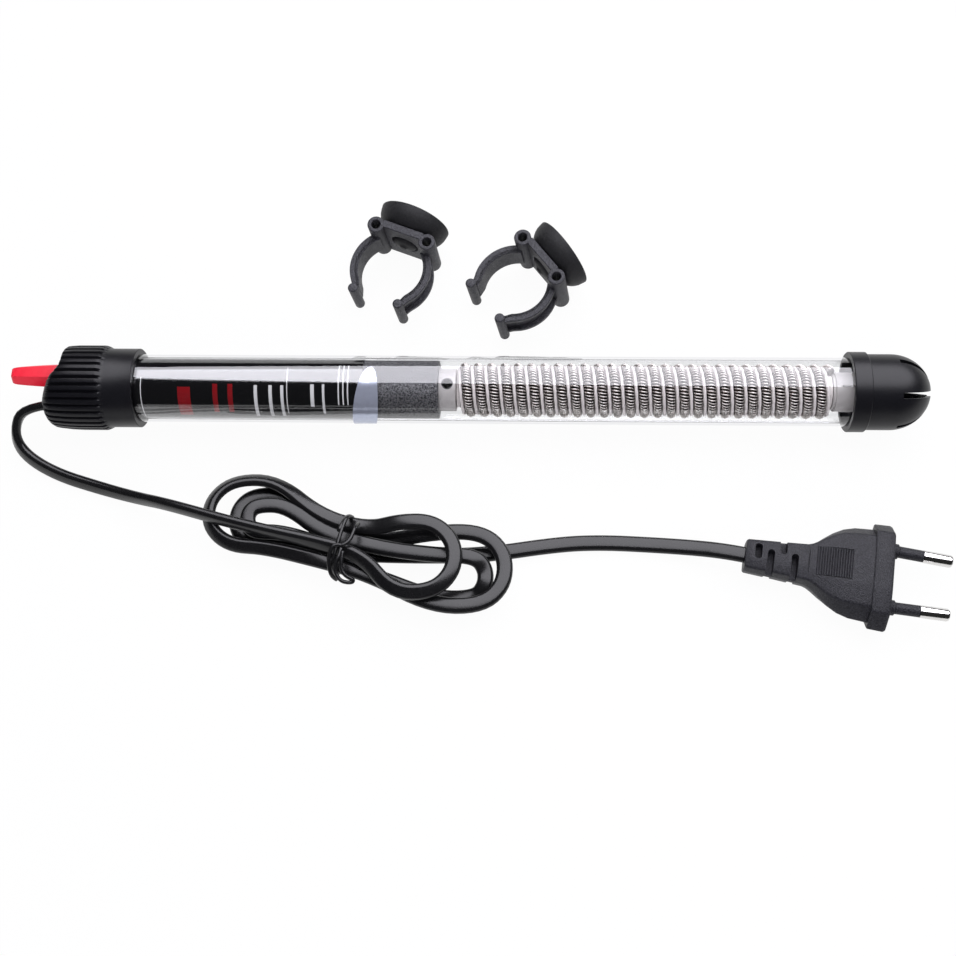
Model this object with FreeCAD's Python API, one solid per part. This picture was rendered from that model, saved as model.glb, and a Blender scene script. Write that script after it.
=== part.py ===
import FreeCAD, Part
import math
import os

V = FreeCAD.Vector
os.makedirs("parts", exist_ok=True)

# Submersible aquarium heater, lying on a table with its cord tied in a hank, its plug,
# and its two suction cup holders standing beside it. Millimetres.
# The origin is on the glass tube's axis, halfway along the bare glass.
# +X runs along the tube to the end guard, +Z is up.

# Glass tube
GLASS_D = 22.4
GLASS_WALL = 1.0
BARE_GLASS = 231.0
CAP_GRIP = 15.5
GUARD_GRIP = 15.5
FIT = 0.05
LOOSE = 0.25

# Head cap
CAP_BODY_D = 28.0
CAP_COLLAR_D = 26.0
CAP_COLLAR_LENGTH = 9.5
CAP_STEP = 2.0
CAP_LENGTH = 30.6
CAP_END_ROUND = 3.5
CAP_TAPER = 1.0
CAP_TAPER_LENGTH = 9.0
RIB_COUNT = 36
RIB_GROOVE_D = 1.5
RIB_GROOVE_DEPTH = 0.5
RIB_MARGIN = 1.6
CAP_CUT_BACK = 6.6
STOPPER_LENGTH = 9.5
STOPPER_FLANGE = 1.0

# Temperature knob and its spindle
KNOB_Y = 4.3
KNOB_BASE_D = 8.2
KNOB_TIP_D = 5.2
KNOB_LENGTH = 20.0
KNOB_STAND_OUT = 13.3
KNOB_SIDES = 6
KNOB_RECESS_GAP = 0.5
KNOB_SEAT_GAP = 0.3
SPINDLE_D = 3.0
SPINDLE_IN_KNOB = 6.0
SEAL_D = 6.4
SEAL_LENGTH = 3.0
TONGUE_LENGTH = 1.8
TONGUE_THICK = 0.9
TONGUE_WIDTH = 2.4
TONGUE_GAP = 0.15

# Cord
CORD_WIDTH = 5.2
CORD_THICK = 3.0
CORD_EXIT_Y = -5.8
CORD_GRIP_D = 8.0
CORD_GRIP_LENGTH = 9.0
LEAD_WIRE_D = 1.8
LEAD_WIRE_SPACING = 2.2

# Label and thermostat shield inside the glass
SLEEVE_GAP = 0.3
SLEEVE_WALL = 0.3
SLEEVE_END_X = -41.0
SHIELD_D = 19.0
SHIELD_WALL = 0.4
SHIELD_START_X = -45.2
SHIELD_END_X = -16.5
STICKER_X = -40.7
STICKER_WIDTH = 8.7
STICKER_SPAN = 19.9
STICKER_THICK = 0.15
STICKER_TURN = 133.0

# Thermostat
FRAME_THICK = 1.6
FRAME_WIDTH = 15.6
FRAME_TOP_Z = -2.2
SCREW_D = 3.0
SCREW_LENGTH = 14.0
SCREW_HEAD_D = 3.8
SCREW_HEAD_LENGTH = 3.2
SCREW_TIP_GAP = 0.6
BRACKET_THICK = 3.0
BRACKET_WIDTH = 7.0
BRACKET_RISE = 2.6
LEAF_THICK = 0.4
LEAF_WIDTH = 4.0
LEAF_FOOT = 6.0
LEAF_TOP_Z = 4.4
CONTACT_D = 2.4
CONTACT_THICK = 0.8
CONTACT_GAP = 0.3
CONTACT_DROP = 1.5
BIMETAL_LENGTH = 34.0
BIMETAL_THICK = 0.6
BIMETAL_POST = 4.0
MAGNET_LENGTH = 4.0
MAGNET_GAP = 0.4
TERMINAL_LENGTH = 6.0
TERMINAL_WIDTH = 3.0
LAMP_D = 5.0
LAMP_LENGTH = 13.0
RESISTOR_D = 2.4
RESISTOR_LENGTH = 7.0
CAPACITOR_LENGTH = 9.0
CAPACITOR_WIDTH = 10.0
CAPACITOR_HEIGHT = 4.5

# Heating core and coil
COIL_WIRE_D = 3.2
COIL_MEAN_D = 14.8
COIL_PITCH = 4.37
COIL_TURNS = 27
COIL_START_X = -10.7
COIL_START_TURN = -90.0
CORE_START_X = -11.0
CORE_BORE_D = 3.0
RETURN_WIRE_D = 1.4
CORE_TAIL = 0.8
MOUNT_D = 12.8
MOUNT_STEP = 1.6
MOUNT_THICK = 3.5
MOUNT_LAP = 8.6
RIVET_D = 3.4
RIVET_BORE_D = 2.0
RIVET_Y = 1.5
END_BLOCK_D = 12.8
END_BLOCK_STEP = 0.9
END_BLOCK_LENGTH = 11.5
END_SLOT = 0.7
END_SLOT_Y = -0.8
END_SLOT_START = 2.6

# End guard
GUARD_RIM_D = 26.0
GUARD_RIM_LENGTH = 6.0
GUARD_BODY_D = 24.6
GUARD_LENGTH = 27.1
GUARD_DOME = 11.6
GUARD_WALL = 1.5
GUARD_SLOTS = 6
GUARD_SLOT_WIDTH = 1.9
GUARD_SLOT_LENGTH = 9.4
GUARD_SLOT_TURN = 118.0

# Plug, two round pins on a flat body
PLUG_FACE_WIDTH = 35.3
PLUG_FACE_HEIGHT = 13.7
PLUG_FLANGE = 5.2
PLUG_FACE_X = 125.6
PLUG_FACE_Y = -60.7
PLUG_YAW = -9.0
PLUG_BODY_LENGTH = 20.4
PLUG_BODY_WIDTH = 30.4
PLUG_BODY_HEIGHT = 12.2
PLUG_NECK_WIDTH = 13.0
PLUG_NECK_HEIGHT = 9.4
RELIEF_LENGTH = 19.4
RELIEF_TAIL_WIDTH = 10.4
RELIEF_TAIL_HEIGHT = 8.0
RELIEF_SLOT = 2.0
RELIEF_SLOT_DEPTH = 2.3
PIN_D = 4.0
PIN_LENGTH = 19.0
PIN_SPACING = 18.6
PIN_TIP_SPACING = 17.5
PIN_ROOT = 5.0
PIN_HEAD_D = 5.0
PIN_SLEEVE_D = 3.6
PIN_NECK_D = 2.6
PIN_SLEEVE_LENGTH = 10.0
PIN_COLLAR_D = 4.8
PIN_COLLAR_LENGTH = 2.2
PIN_SLEEVE_START = 0.1

# Holder clip and suction cup
CLIP_BORE_GAP = 0.05
CLIP_BAND = 1.4
CLIP_RIB_OUT = 1.4
CLIP_RIB_THICK = 1.7
CLIP_ARM_WIDTH = 9.0
CLIP_MOUTH_HALF = 37.0
PEG_D = 3.4
PEG_LENGTH = 15.4
PEG_SIDE = 8.3
PEG_DROP = 12.0
BOSS_D = 5.8
BOSS_BORE_D = 3.1
BOSS_LENGTH = 19.0
BOSS_SIDE = 9.45
BOSS_OUT = 11.3
PLATE_THICK = 2.6
CUP_RIM_D = 25.0
CUP_RIM_OUT = 21.0
CUP_LIP = 1.0
CUP_LEAN = 0.2
CUP_WALL = 1.8
CUP_ROOT_D = 18.0
CUP_NECK_D = 4.8
CUP_HEAD_D = 9.2
CUP_HEAD_THICK = 1.2
CUP_SWIVEL_GAP = 0.08
CUP_FACE_GAP = 0.15
CUP_HOLLOW_D = 12.0
CLIP_PLACES = {"a": (-34.8, 46.3, -21.5), "b": (7.9, 40.4, -52.8)}

# Places worked out from the sizes above
GLASS_R = GLASS_D / 2
GLASS_BORE_R = GLASS_R - GLASS_WALL
CAP_MOUTH_X = -BARE_GLASS / 2
GUARD_MOUTH_X = BARE_GLASS / 2
GLASS_OPEN_X = CAP_MOUTH_X - CAP_GRIP
GLASS_TIP_X = GUARD_MOUTH_X + GUARD_GRIP
CAP_WEB_X = GLASS_OPEN_X - STOPPER_FLANGE
CAP_TAIL_X = CAP_MOUTH_X - CAP_LENGTH
STOPPER_END_X = GLASS_OPEN_X + STOPPER_LENGTH
FLOOR_Z = -CAP_BODY_D / 2
SPINDLE_R = SPINDLE_D / 2
KNOB_TIP_X = CAP_TAIL_X - KNOB_STAND_OUT
KNOB_BASE_X = KNOB_TIP_X + KNOB_LENGTH
CORD_GRIP_X = CAP_WEB_X - CORD_GRIP_LENGTH
CORD_TUBE_R = math.sqrt(((CORD_WIDTH - CORD_THICK) * CORD_THICK + math.pi * CORD_THICK ** 2 / 4) / math.pi)


def rod(radius, x0, x1, y=0.0, z=0.0):
    """A round rod along X."""
    return Part.makeCylinder(radius, x1 - x0, V(x0, y, z), V(1, 0, 0))


def pipe(outer, inner, x0, x1, y=0.0, z=0.0):
    """A round tube along X."""
    return rod(outer, x0, x1, y, z).cut(rod(inner, x0 - 1, x1 + 1, y, z))


def block(x0, x1, y0, y1, z0, z1):
    """A box between two corners."""
    return Part.makeBox(x1 - x0, y1 - y0, z1 - z0, V(x0, y0, z0))


def outline(start, steps):
    """Edges from start; a step is the next point, or a middle point and an end point of an arc."""
    edges = []
    last = start
    for step in steps:
        if isinstance(step, tuple):
            edges.append(Part.Arc(last, step[0], step[1]).toShape())
            last = step[1]
        else:
            edges.append(Part.LineSegment(last, step).toShape())
            last = step
    return edges


def turned(start, steps):
    """A solid turned about the X axis from an outline in X and radius."""
    face = Part.Face(Part.Wire(outline(start, steps)))
    return face.revolve(V(0, 0, 0), V(1, 0, 0), 360)


def on_round(radius, degrees):
    """Height over a quarter round: cosine and sine of an angle times its radius."""
    angle = math.radians(degrees)
    return radius * math.cos(angle), radius * math.sin(angle)


def save(shape, node):
    """Write one node, as one solid or as a group of solids."""
    solids = shape.Solids
    result = solids[0] if len(solids) == 1 else Part.makeCompound(solids)
    if not result.isValid():
        raise ValueError(node + " is not a valid shape")
    result.exportStep("parts/" + node + ".step")
    print(node, len(solids), "solid", round(result.Volume, 2), "mm3")


# Glass tube: a test tube with a round closed end inside the guard
def make_glass_tube():
    dome_x = GLASS_TIP_X - GLASS_R
    out_x, out_r = on_round(GLASS_R, 45)
    in_x, in_r = on_round(GLASS_BORE_R, 45)
    return turned(V(GLASS_OPEN_X, GLASS_BORE_R), [
        V(GLASS_OPEN_X, GLASS_R),
        V(dome_x, GLASS_R),
        (V(dome_x + out_x, out_r), V(GLASS_TIP_X, 0)),
        V(GLASS_TIP_X - GLASS_WALL, 0),
        (V(dome_x + in_x, in_r), V(dome_x, GLASS_BORE_R)),
        V(GLASS_OPEN_X, GLASS_BORE_R)])


# Head cap: ribbed body with a smooth collar over the glass; its end is cut back beside the knob
def make_head_cap():
    body_r = CAP_BODY_D / 2
    collar_x = CAP_MOUTH_X - CAP_COLLAR_LENGTH
    body_x = collar_x - CAP_STEP
    socket_r = GLASS_R + FIT
    round_x, round_r = on_round(CAP_END_ROUND, 45)
    centre_r = body_r - CAP_TAPER - CAP_END_ROUND
    centre_x = CAP_TAIL_X + CAP_END_ROUND
    cap = turned(V(CAP_MOUTH_X, socket_r), [
        V(CAP_MOUTH_X, CAP_COLLAR_D / 2),
        V(collar_x, CAP_COLLAR_D / 2),
        V(body_x, body_r),
        V(CAP_TAIL_X + CAP_TAPER_LENGTH, body_r),
        V(centre_x, body_r - CAP_TAPER),
        (V(centre_x - round_x, centre_r + round_r), V(CAP_TAIL_X, centre_r)),
        V(CAP_TAIL_X, 0),
        V(CAP_WEB_X, 0),
        V(CAP_WEB_X, socket_r),
        V(CAP_MOUTH_X, socket_r)])
    side = body_r + 1
    cut_x = CAP_TAIL_X + CAP_CUT_BACK
    slope_y = KNOB_Y - 1.3
    edges = outline(V(cut_x - 0.4, side, -side), [
        V(cut_x, slope_y, -side),
        (V(cut_x - 0.8, slope_y - 1.8, -side), V(cut_x - 2.7, slope_y - 3.8, -side)),
        (V(cut_x - 4.1, slope_y - 6.2, -side), V(cut_x - 5.0, slope_y - 10.4, -side)),
        V(CAP_TAIL_X - 1, -side, -side),
        V(CAP_TAIL_X - 1, side, -side),
        V(cut_x - 0.4, side, -side)])
    notch = Part.Face(Part.Wire(edges)).extrude(V(0, 0, 2 * side))
    cap = cap.cut(notch)
    grooves = []
    groove_r = RIB_GROOVE_D / 2
    groove_out = body_r - RIB_GROOVE_DEPTH + groove_r
    for index in range(RIB_COUNT):
        y, z = on_round(groove_out, 360.0 * (index + 0.5) / RIB_COUNT)
        grooves.append(rod(groove_r, CAP_TAIL_X - 1, body_x - RIB_MARGIN, y, z))
    cap = cap.cut(Part.makeCompound(grooves))
    recess_r = KNOB_BASE_D / 2 + KNOB_RECESS_GAP
    holes = [rod(recess_r, CAP_TAIL_X - 1, KNOB_BASE_X + KNOB_SEAT_GAP, KNOB_Y),
             rod(SPINDLE_R + FIT, CAP_TAIL_X, CAP_WEB_X + 1, KNOB_Y),
             rod(SEAL_D / 2 + FIT, CAP_WEB_X - SEAL_LENGTH, CAP_WEB_X + 1, KNOB_Y),
             rod(CORD_TUBE_R + LOOSE, CAP_TAIL_X - 1, CAP_WEB_X + 1, CORD_EXIT_Y),
             rod(CORD_GRIP_D / 2 + FIT, CORD_GRIP_X, CAP_WEB_X + 1, CORD_EXIT_Y)]
    for hole in holes:
        cap = cap.cut(hole)
    return cap


# Rubber stopper that closes the glass, with holes for the spindle and the supply wires
def make_glass_stopper():
    stopper = rod(GLASS_BORE_R - FIT, GLASS_OPEN_X, STOPPER_END_X)
    stopper = stopper.fuse(rod(GLASS_R, CAP_WEB_X, GLASS_OPEN_X))
    wires_r = (LEAD_WIRE_SPACING + LEAD_WIRE_D) / 2 + FIT
    stopper = stopper.cut(rod(SPINDLE_R + FIT, CAP_WEB_X - 1, STOPPER_END_X + 1, KNOB_Y))
    stopper = stopper.cut(rod(wires_r, CAP_WEB_X - 1, STOPPER_END_X + 1, CORD_EXIT_Y))
    return stopper.removeSplitter()


def polygon(sides, radius, x, y, z, turn=0.0):
    corners = []
    for index in range(sides + 1):
        dy, dz = on_round(radius, turn + 360.0 * index / sides)
        corners.append(V(x, y + dy, z + dz))
    return Part.makePolygon(corners)


# Knob: a tapered grip with flats, on the spindle that reaches down to the thermostat
def make_knob():
    wires = [polygon(KNOB_SIDES, KNOB_BASE_D / 2, KNOB_BASE_X, KNOB_Y, 0),
             polygon(KNOB_SIDES, KNOB_TIP_D / 2, KNOB_TIP_X + 1.2, KNOB_Y, 0),
             polygon(KNOB_SIDES, KNOB_TIP_D / 2 - 0.9, KNOB_TIP_X, KNOB_Y, 0)]
    knob = Part.makeLoft(wires, True, True)
    return knob.cut(rod(SPINDLE_R + FIT / 2, KNOB_BASE_X - SPINDLE_IN_KNOB, KNOB_BASE_X + 1, KNOB_Y))


SCREW_HEAD_X = STOPPER_END_X + TONGUE_LENGTH + TONGUE_GAP + 3.0
SPINDLE_END_X = SCREW_HEAD_X - TONGUE_GAP - 0.5


def make_knob_spindle():
    spindle = rod(SPINDLE_R, KNOB_BASE_X - SPINDLE_IN_KNOB, SPINDLE_END_X, KNOB_Y)
    tongue = block(SPINDLE_END_X - 0.5, SPINDLE_END_X + TONGUE_LENGTH, KNOB_Y - TONGUE_WIDTH / 2,
                   KNOB_Y + TONGUE_WIDTH / 2, -TONGUE_THICK / 2, TONGUE_THICK / 2)
    return spindle.fuse(tongue).removeSplitter()


def make_spindle_seal():
    return pipe(SEAL_D / 2, SPINDLE_R + FIT, CAP_WEB_X - SEAL_LENGTH, CAP_WEB_X, KNOB_Y)


def make_cord_grip():
    grip = rod(CORD_GRIP_D / 2, CORD_GRIP_X, CAP_WEB_X, CORD_EXIT_Y)
    wire_r = LEAD_WIRE_D / 2
    for side in (-1, 1):
        y = CORD_EXIT_Y + side * LEAD_WIRE_SPACING / 2
        grip = grip.cut(rod(wire_r, CORD_GRIP_X + 2, CAP_WEB_X + 1, y))
    return grip


# Printed sleeve, thermostat can and the oval seal on the glass
SLEEVE_R = GLASS_BORE_R - SLEEVE_GAP
SHIELD_R = SHIELD_D / 2
MOUNT_R = MOUNT_D / 2


def make_label_sleeve():
    return pipe(SLEEVE_R, SLEEVE_R - SLEEVE_WALL, STOPPER_END_X, SLEEVE_END_X)


def make_thermostat_shield():
    inner = SHIELD_R - SHIELD_WALL
    can = rod(SHIELD_R, SHIELD_START_X, SHIELD_END_X)
    can = can.cut(rod(inner, SHIELD_START_X - 1, SHIELD_END_X - SHIELD_WALL))
    return can.cut(rod(MOUNT_R + LOOSE, SHIELD_START_X, SHIELD_END_X + 1))


def make_sticker():
    shell = pipe(GLASS_R + STICKER_THICK, GLASS_R, STICKER_X - STICKER_WIDTH, STICKER_X + STICKER_WIDTH)
    major = STICKER_SPAN / 2
    minor = STICKER_WIDTH / 2
    ellipse = Part.Ellipse(V(STICKER_X, major, 0), V(STICKER_X + minor, 0, 0), V(STICKER_X, 0, 0))
    prism = Part.Face(Part.Wire(ellipse.toShape())).extrude(V(0, 0, GLASS_D))
    prism.rotate(V(0, 0, 0), V(1, 0, 0), STICKER_TURN - 90)
    return shell.common(prism)


# Thermostat on its flat frame: setting screw, contact leaf, bimetal strip and magnet
FRAME_END_X = SHIELD_END_X - SHIELD_WALL - LOOSE
SCREW_X = SCREW_HEAD_X + SCREW_HEAD_LENGTH
SCREW_TIP_X = SCREW_HEAD_X + SCREW_LENGTH
BRACKET_X = SCREW_X + 3.0
LEAF_X = SCREW_TIP_X + SCREW_TIP_GAP
CONTACT_X = LEAF_X + LEAF_THICK
CONTACT_Z = LEAF_TOP_Z - CONTACT_DROP
FIXED_CONTACT_X = CONTACT_X + CONTACT_THICK + CONTACT_GAP
BIMETAL_X = FIXED_CONTACT_X + CONTACT_THICK
BIMETAL_Z = CONTACT_Z - CONTACT_D / 2
BIMETAL_END_X = BIMETAL_X + BIMETAL_LENGTH


def make_thermostat_frame():
    return block(STOPPER_END_X, FRAME_END_X, -FRAME_WIDTH / 2, FRAME_WIDTH / 2,
                 FRAME_TOP_Z - FRAME_THICK, FRAME_TOP_Z)


def make_setting_screw():
    screw = rod(SCREW_D / 2, SCREW_HEAD_X, SCREW_TIP_X, KNOB_Y)
    screw = screw.fuse(rod(SCREW_HEAD_D / 2, SCREW_HEAD_X, SCREW_X, KNOB_Y))
    half = TONGUE_THICK / 2 + TONGUE_GAP
    wide = SCREW_HEAD_D / 2 + 1
    slot = block(SCREW_HEAD_X - 1, SCREW_X - 1.0, KNOB_Y - wide, KNOB_Y + wide, -half, half)
    return screw.cut(slot)


def make_setting_bracket():
    half = BRACKET_WIDTH / 2
    bracket = block(BRACKET_X, BRACKET_X + BRACKET_THICK, KNOB_Y - half, KNOB_Y + half - 0.5,
                    FRAME_TOP_Z, SCREW_D / 2 + BRACKET_RISE)
    return bracket.cut(rod(SCREW_D / 2 + FIT, BRACKET_X - 1, BRACKET_X + BRACKET_THICK + 1, KNOB_Y))


def make_contact_leaf():
    y0 = KNOB_Y - LEAF_WIDTH / 2
    y1 = KNOB_Y + LEAF_WIDTH / 2
    upright = block(LEAF_X, LEAF_X + LEAF_THICK, y0, y1, FRAME_TOP_Z, LEAF_TOP_Z)
    foot = block(LEAF_X, LEAF_X + LEAF_FOOT, y0, y1, FRAME_TOP_Z, FRAME_TOP_Z + LEAF_THICK)
    return upright.fuse(foot).removeSplitter()


def make_contacts():
    moving = rod(CONTACT_D / 2, CONTACT_X, CONTACT_X + CONTACT_THICK, KNOB_Y, CONTACT_Z)
    fixed = rod(CONTACT_D / 2, FIXED_CONTACT_X, BIMETAL_X, KNOB_Y, CONTACT_Z)
    return Part.makeCompound([moving, fixed])


def make_bimetal_strip():
    y0 = KNOB_Y - LEAF_WIDTH / 2
    y1 = KNOB_Y + LEAF_WIDTH / 2
    strip = block(BIMETAL_X, BIMETAL_END_X, y0, y1, BIMETAL_Z - BIMETAL_THICK, BIMETAL_Z)
    upturn = block(BIMETAL_X, BIMETAL_X + BIMETAL_THICK, y0, y1, BIMETAL_Z - BIMETAL_THICK, LEAF_TOP_Z)
    return strip.fuse(upturn).removeSplitter()


def make_bimetal_post():
    return block(BIMETAL_END_X - BIMETAL_POST, BIMETAL_END_X, KNOB_Y - LEAF_WIDTH / 2,
                 KNOB_Y + LEAF_WIDTH / 2, FRAME_TOP_Z, BIMETAL_Z - BIMETAL_THICK)


def make_magnet():
    x0 = LEAF_X + LEAF_FOOT + LOOSE
    return block(x0, x0 + MAGNET_LENGTH, KNOB_Y - LEAF_WIDTH / 2, KNOB_Y + LEAF_WIDTH / 2,
                 FRAME_TOP_Z, BIMETAL_Z - BIMETAL_THICK - MAGNET_GAP)


# Supply side: two wires from the cord into brass terminals, the lamp with its resistor, the capacitor
TERMINAL_X = SCREW_X + 2.0
LAMP_X = TERMINAL_X + TERMINAL_LENGTH + 4.0
LAMP_Z = FRAME_TOP_Z + LAMP_D / 2
RESISTOR_X = LAMP_X + LAMP_LENGTH + 1.0


def make_supply_leads():
    leads = []
    for side in (-1, 1):
        y = CORD_EXIT_Y + side * LEAD_WIRE_SPACING / 2
        leads.append(rod(LEAD_WIRE_D / 2, CORD_GRIP_X + 2, TERMINAL_X, y))
    return Part.makeCompound(leads)


def make_terminals():
    blocks = []
    for side in (-1, 1):
        y = CORD_EXIT_Y + side * (TERMINAL_WIDTH + LOOSE) / 2
        blocks.append(block(TERMINAL_X, TERMINAL_X + TERMINAL_LENGTH, y - TERMINAL_WIDTH / 2,
                            y + TERMINAL_WIDTH / 2, FRAME_TOP_Z, LEAD_WIRE_D / 2 + 0.4))
    return Part.makeCompound(blocks)


def make_indicator_lamp():
    tip_r = LAMP_D / 2
    lamp = rod(tip_r, LAMP_X, LAMP_X + LAMP_LENGTH - tip_r, CORD_EXIT_Y + 0.8, LAMP_Z)
    ball = Part.makeSphere(tip_r, V(LAMP_X + LAMP_LENGTH - tip_r, CORD_EXIT_Y + 0.8, LAMP_Z))
    return lamp.fuse(ball).removeSplitter()


def make_lamp_resistor():
    z = FRAME_TOP_Z + RESISTOR_D / 2
    return rod(RESISTOR_D / 2, RESISTOR_X, RESISTOR_X + RESISTOR_LENGTH, CORD_EXIT_Y + 0.8, z)


def make_capacitor():
    x0 = SHIELD_START_X + 2.0
    half = CAPACITOR_WIDTH / 2
    body = block(x0, x0 + CAPACITOR_LENGTH, -half, half, FRAME_TOP_Z, FRAME_TOP_Z + CAPACITOR_HEIGHT)
    return body.makeFillet(1.0, body.Edges)


# Heating core: ceramic rod that carries the coil, on a round neck with a flat tongue and a cross pin
COIL_R = COIL_MEAN_D / 2
COIL_WIRE_R = COIL_WIRE_D / 2
CORE_R = COIL_R - COIL_WIRE_R - FIT
COIL_END_X = COIL_START_X + COIL_PITCH * (COIL_TURNS + 0.5)
CORE_END_X = COIL_END_X + CORE_TAIL


NECK_START_X = SHIELD_END_X - SHIELD_WALL
NECK_END_X = CORE_START_X - MOUNT_STEP
RIVET_X = NECK_END_X - RIVET_D / 2 - LOOSE
RIVET_FOOT_Z = -math.sqrt(MOUNT_R ** 2 - (RIVET_Y + RIVET_D / 2) ** 2)
RIVET_TOP_Z = FRAME_TOP_Z + MOUNT_THICK


def make_core_mount():
    neck = rod(MOUNT_R, NECK_START_X, NECK_END_X).fuse(rod(CORE_R, NECK_START_X, CORE_START_X))
    tongue = block(NECK_START_X - MOUNT_LAP, NECK_END_X, 1 - MOUNT_R, MOUNT_R - 1,
                   FRAME_TOP_Z, FRAME_TOP_Z + MOUNT_THICK)
    hole = Part.makeCylinder(RIVET_D / 2, MOUNT_D, V(RIVET_X, RIVET_Y, -MOUNT_R))
    return neck.fuse(tongue).cut(hole).removeSplitter()


def make_core_rivet():
    height = RIVET_TOP_Z - RIVET_FOOT_Z
    foot = V(RIVET_X, RIVET_Y, RIVET_FOOT_Z)
    return Part.makeCylinder(RIVET_D / 2, height, foot).cut(Part.makeCylinder(RIVET_BORE_D / 2, height, foot))


def make_ceramic_core():
    core = pipe(CORE_R, CORE_BORE_D / 2, CORE_START_X, CORE_END_X)
    return core


def make_return_wire():
    return rod(RETURN_WIRE_D / 2, CORE_START_X, CORE_END_X, 0, -CORE_BORE_D / 2 + RETURN_WIRE_D / 2 + FIT)


def biarc(p0, t0, p1, t1):
    """Two arcs that leave p0 along t0 and reach p1 along t1, with equal tangent lengths."""
    chord = p1 - p0
    both = t0 + t1
    a = 2 * (1 - t0.dot(t1))
    b = 2 * chord.dot(both)
    c = -chord.dot(chord)
    if abs(a) < 1e-9:
        reach = -c / b
    else:
        reach = (-b + math.sqrt(b * b - 4 * a * c)) / (2 * a)
    corner0 = p0 + t0 * reach
    corner1 = p1 - t1 * reach
    joint = (corner0 + corner1) * 0.5
    return [arc_in_corner(p0, corner0, joint), arc_in_corner(joint, corner1, p1)]


def arc_in_corner(start, corner, end):
    """The arc from start to end that is tangent to the two legs of a corner with equal legs."""
    middle = (start + end) * 0.5
    rise = (corner - middle).Length
    half = (end - start).Length / 2
    if rise < 1e-6 * half:
        return Part.LineSegment(start, end).toShape()
    turn = math.atan2(rise, half)
    radius = half / math.sin(turn)
    crest = middle + (corner - middle) * (radius * (1 - math.cos(turn)) / rise)
    return Part.Arc(start, crest, end).toShape()


def swept(edges, radius, start, direction):
    """A round tube along joined edges."""
    section = Part.Wire(Part.makeCircle(radius, start, direction))
    tube = Part.Wire(edges).makePipeShell([section], True, False)
    return tube


def self_gap(samples, diameter, skip):
    """Least gap between stretches of a tube that lie at least skip apart along it."""
    lengths = [0.0]
    for before, after in zip(samples, samples[1:]):
        lengths.append(lengths[-1] + (after - before).Length)
    least = 1e9
    for i in range(len(samples)):
        for j in range(i + 1, len(samples)):
            if lengths[j] - lengths[i] > skip:
                least = min(least, (samples[j] - samples[i]).Length)
    return least - diameter


def make_heating_coil():
    climb = COIL_PITCH / (2 * math.pi * COIL_R)

    def station(turns):
        y, z = on_round(COIL_R, COIL_START_TURN + 360.0 * turns)
        ty, tz = on_round(1.0, COIL_START_TURN + 360.0 * turns + 90)
        point = V(COIL_START_X + COIL_PITCH * turns, y, z)
        tangent = V(climb, ty, tz)
        tangent.normalize()
        return point, tangent

    halves = 2 * COIL_TURNS + 1
    first, start_way = station(0)
    edges = [Part.LineSegment(first - start_way * COIL_WIRE_D, first).toShape()]
    samples = []
    for index in range(halves):
        p0, t0 = station(index / 2)
        p1, t1 = station((index + 1) / 2)
        edges += biarc(p0, t0, p1, t1)
    last, end_way = station(halves / 2)
    edges.append(Part.LineSegment(last, last + end_way * COIL_WIRE_D).toShape())
    for edge in edges:
        samples += edge.discretize(5)[:-1]
    print("coil self gap", round(self_gap(samples[:80], COIL_WIRE_D, COIL_R * 3), 2))
    return swept(edges, COIL_WIRE_R, first - start_way * COIL_WIRE_D, start_way)


def make_core_end_block():
    radius = END_BLOCK_D / 2
    end_x = CORE_END_X + END_BLOCK_LENGTH
    body = rod(CORE_R, CORE_END_X, end_x).fuse(rod(radius, CORE_END_X + END_BLOCK_STEP, end_x))
    slot = block(CORE_END_X + END_SLOT_START, end_x + 1, END_SLOT_Y - END_SLOT / 2, END_SLOT_Y + END_SLOT / 2,
                 radius / 2, radius + 1)
    return body.cut(slot).removeSplitter()


# End guard: cup over the closed end of the glass, with slots that let the water through
def make_end_guard():
    rim_x = GUARD_MOUTH_X + GUARD_RIM_LENGTH
    tip_x = GUARD_MOUTH_X + GUARD_LENGTH
    dome_x = tip_x - GUARD_DOME
    body_r = GUARD_BODY_D / 2
    bore_r = GLASS_R + FIT
    inner_r = body_r - GUARD_WALL
    ledge_x = GLASS_TIP_X + LOOSE
    lean = math.sqrt(0.5)
    guard = turned(V(GUARD_MOUTH_X, bore_r), [
        V(GUARD_MOUTH_X, GUARD_RIM_D / 2),
        V(rim_x, GUARD_RIM_D / 2),
        V(rim_x, body_r),
        V(dome_x, body_r),
        (V(dome_x + GUARD_DOME * lean, body_r * lean), V(tip_x, 0)),
        V(tip_x - GUARD_WALL, 0),
        (V(ledge_x + (tip_x - GUARD_WALL - ledge_x) * lean, inner_r * lean), V(ledge_x, inner_r)),
        V(ledge_x, bore_r),
        V(GUARD_MOUTH_X, bore_r)])
    slot = block(tip_x - GUARD_SLOT_LENGTH, tip_x + 1, -GUARD_RIM_D, GUARD_RIM_D,
                 -GUARD_SLOT_WIDTH / 2, GUARD_SLOT_WIDTH / 2)
    for index in range(GUARD_SLOTS // 2):
        cutter = slot.copy()
        cutter.rotate(V(0, 0, 0), V(1, 0, 0), GUARD_SLOT_TURN + 360.0 * index / GUARD_SLOTS)
        guard = guard.cut(cutter)
    return guard


# Plug: moulded body with a slotted strain relief, built along X and then laid on the table
def hexagon(x, width, height, flat):
    """An elongated hexagon across X, flat on top and bottom, pointed at both sides."""
    corners = [V(x, width / 2, 0), V(x, flat / 2, height / 2), V(x, -flat / 2, height / 2),
               V(x, -width / 2, 0), V(x, -flat / 2, -height / 2), V(x, flat / 2, -height / 2)]
    return Part.makePolygon(corners + [corners[0]])


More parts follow.
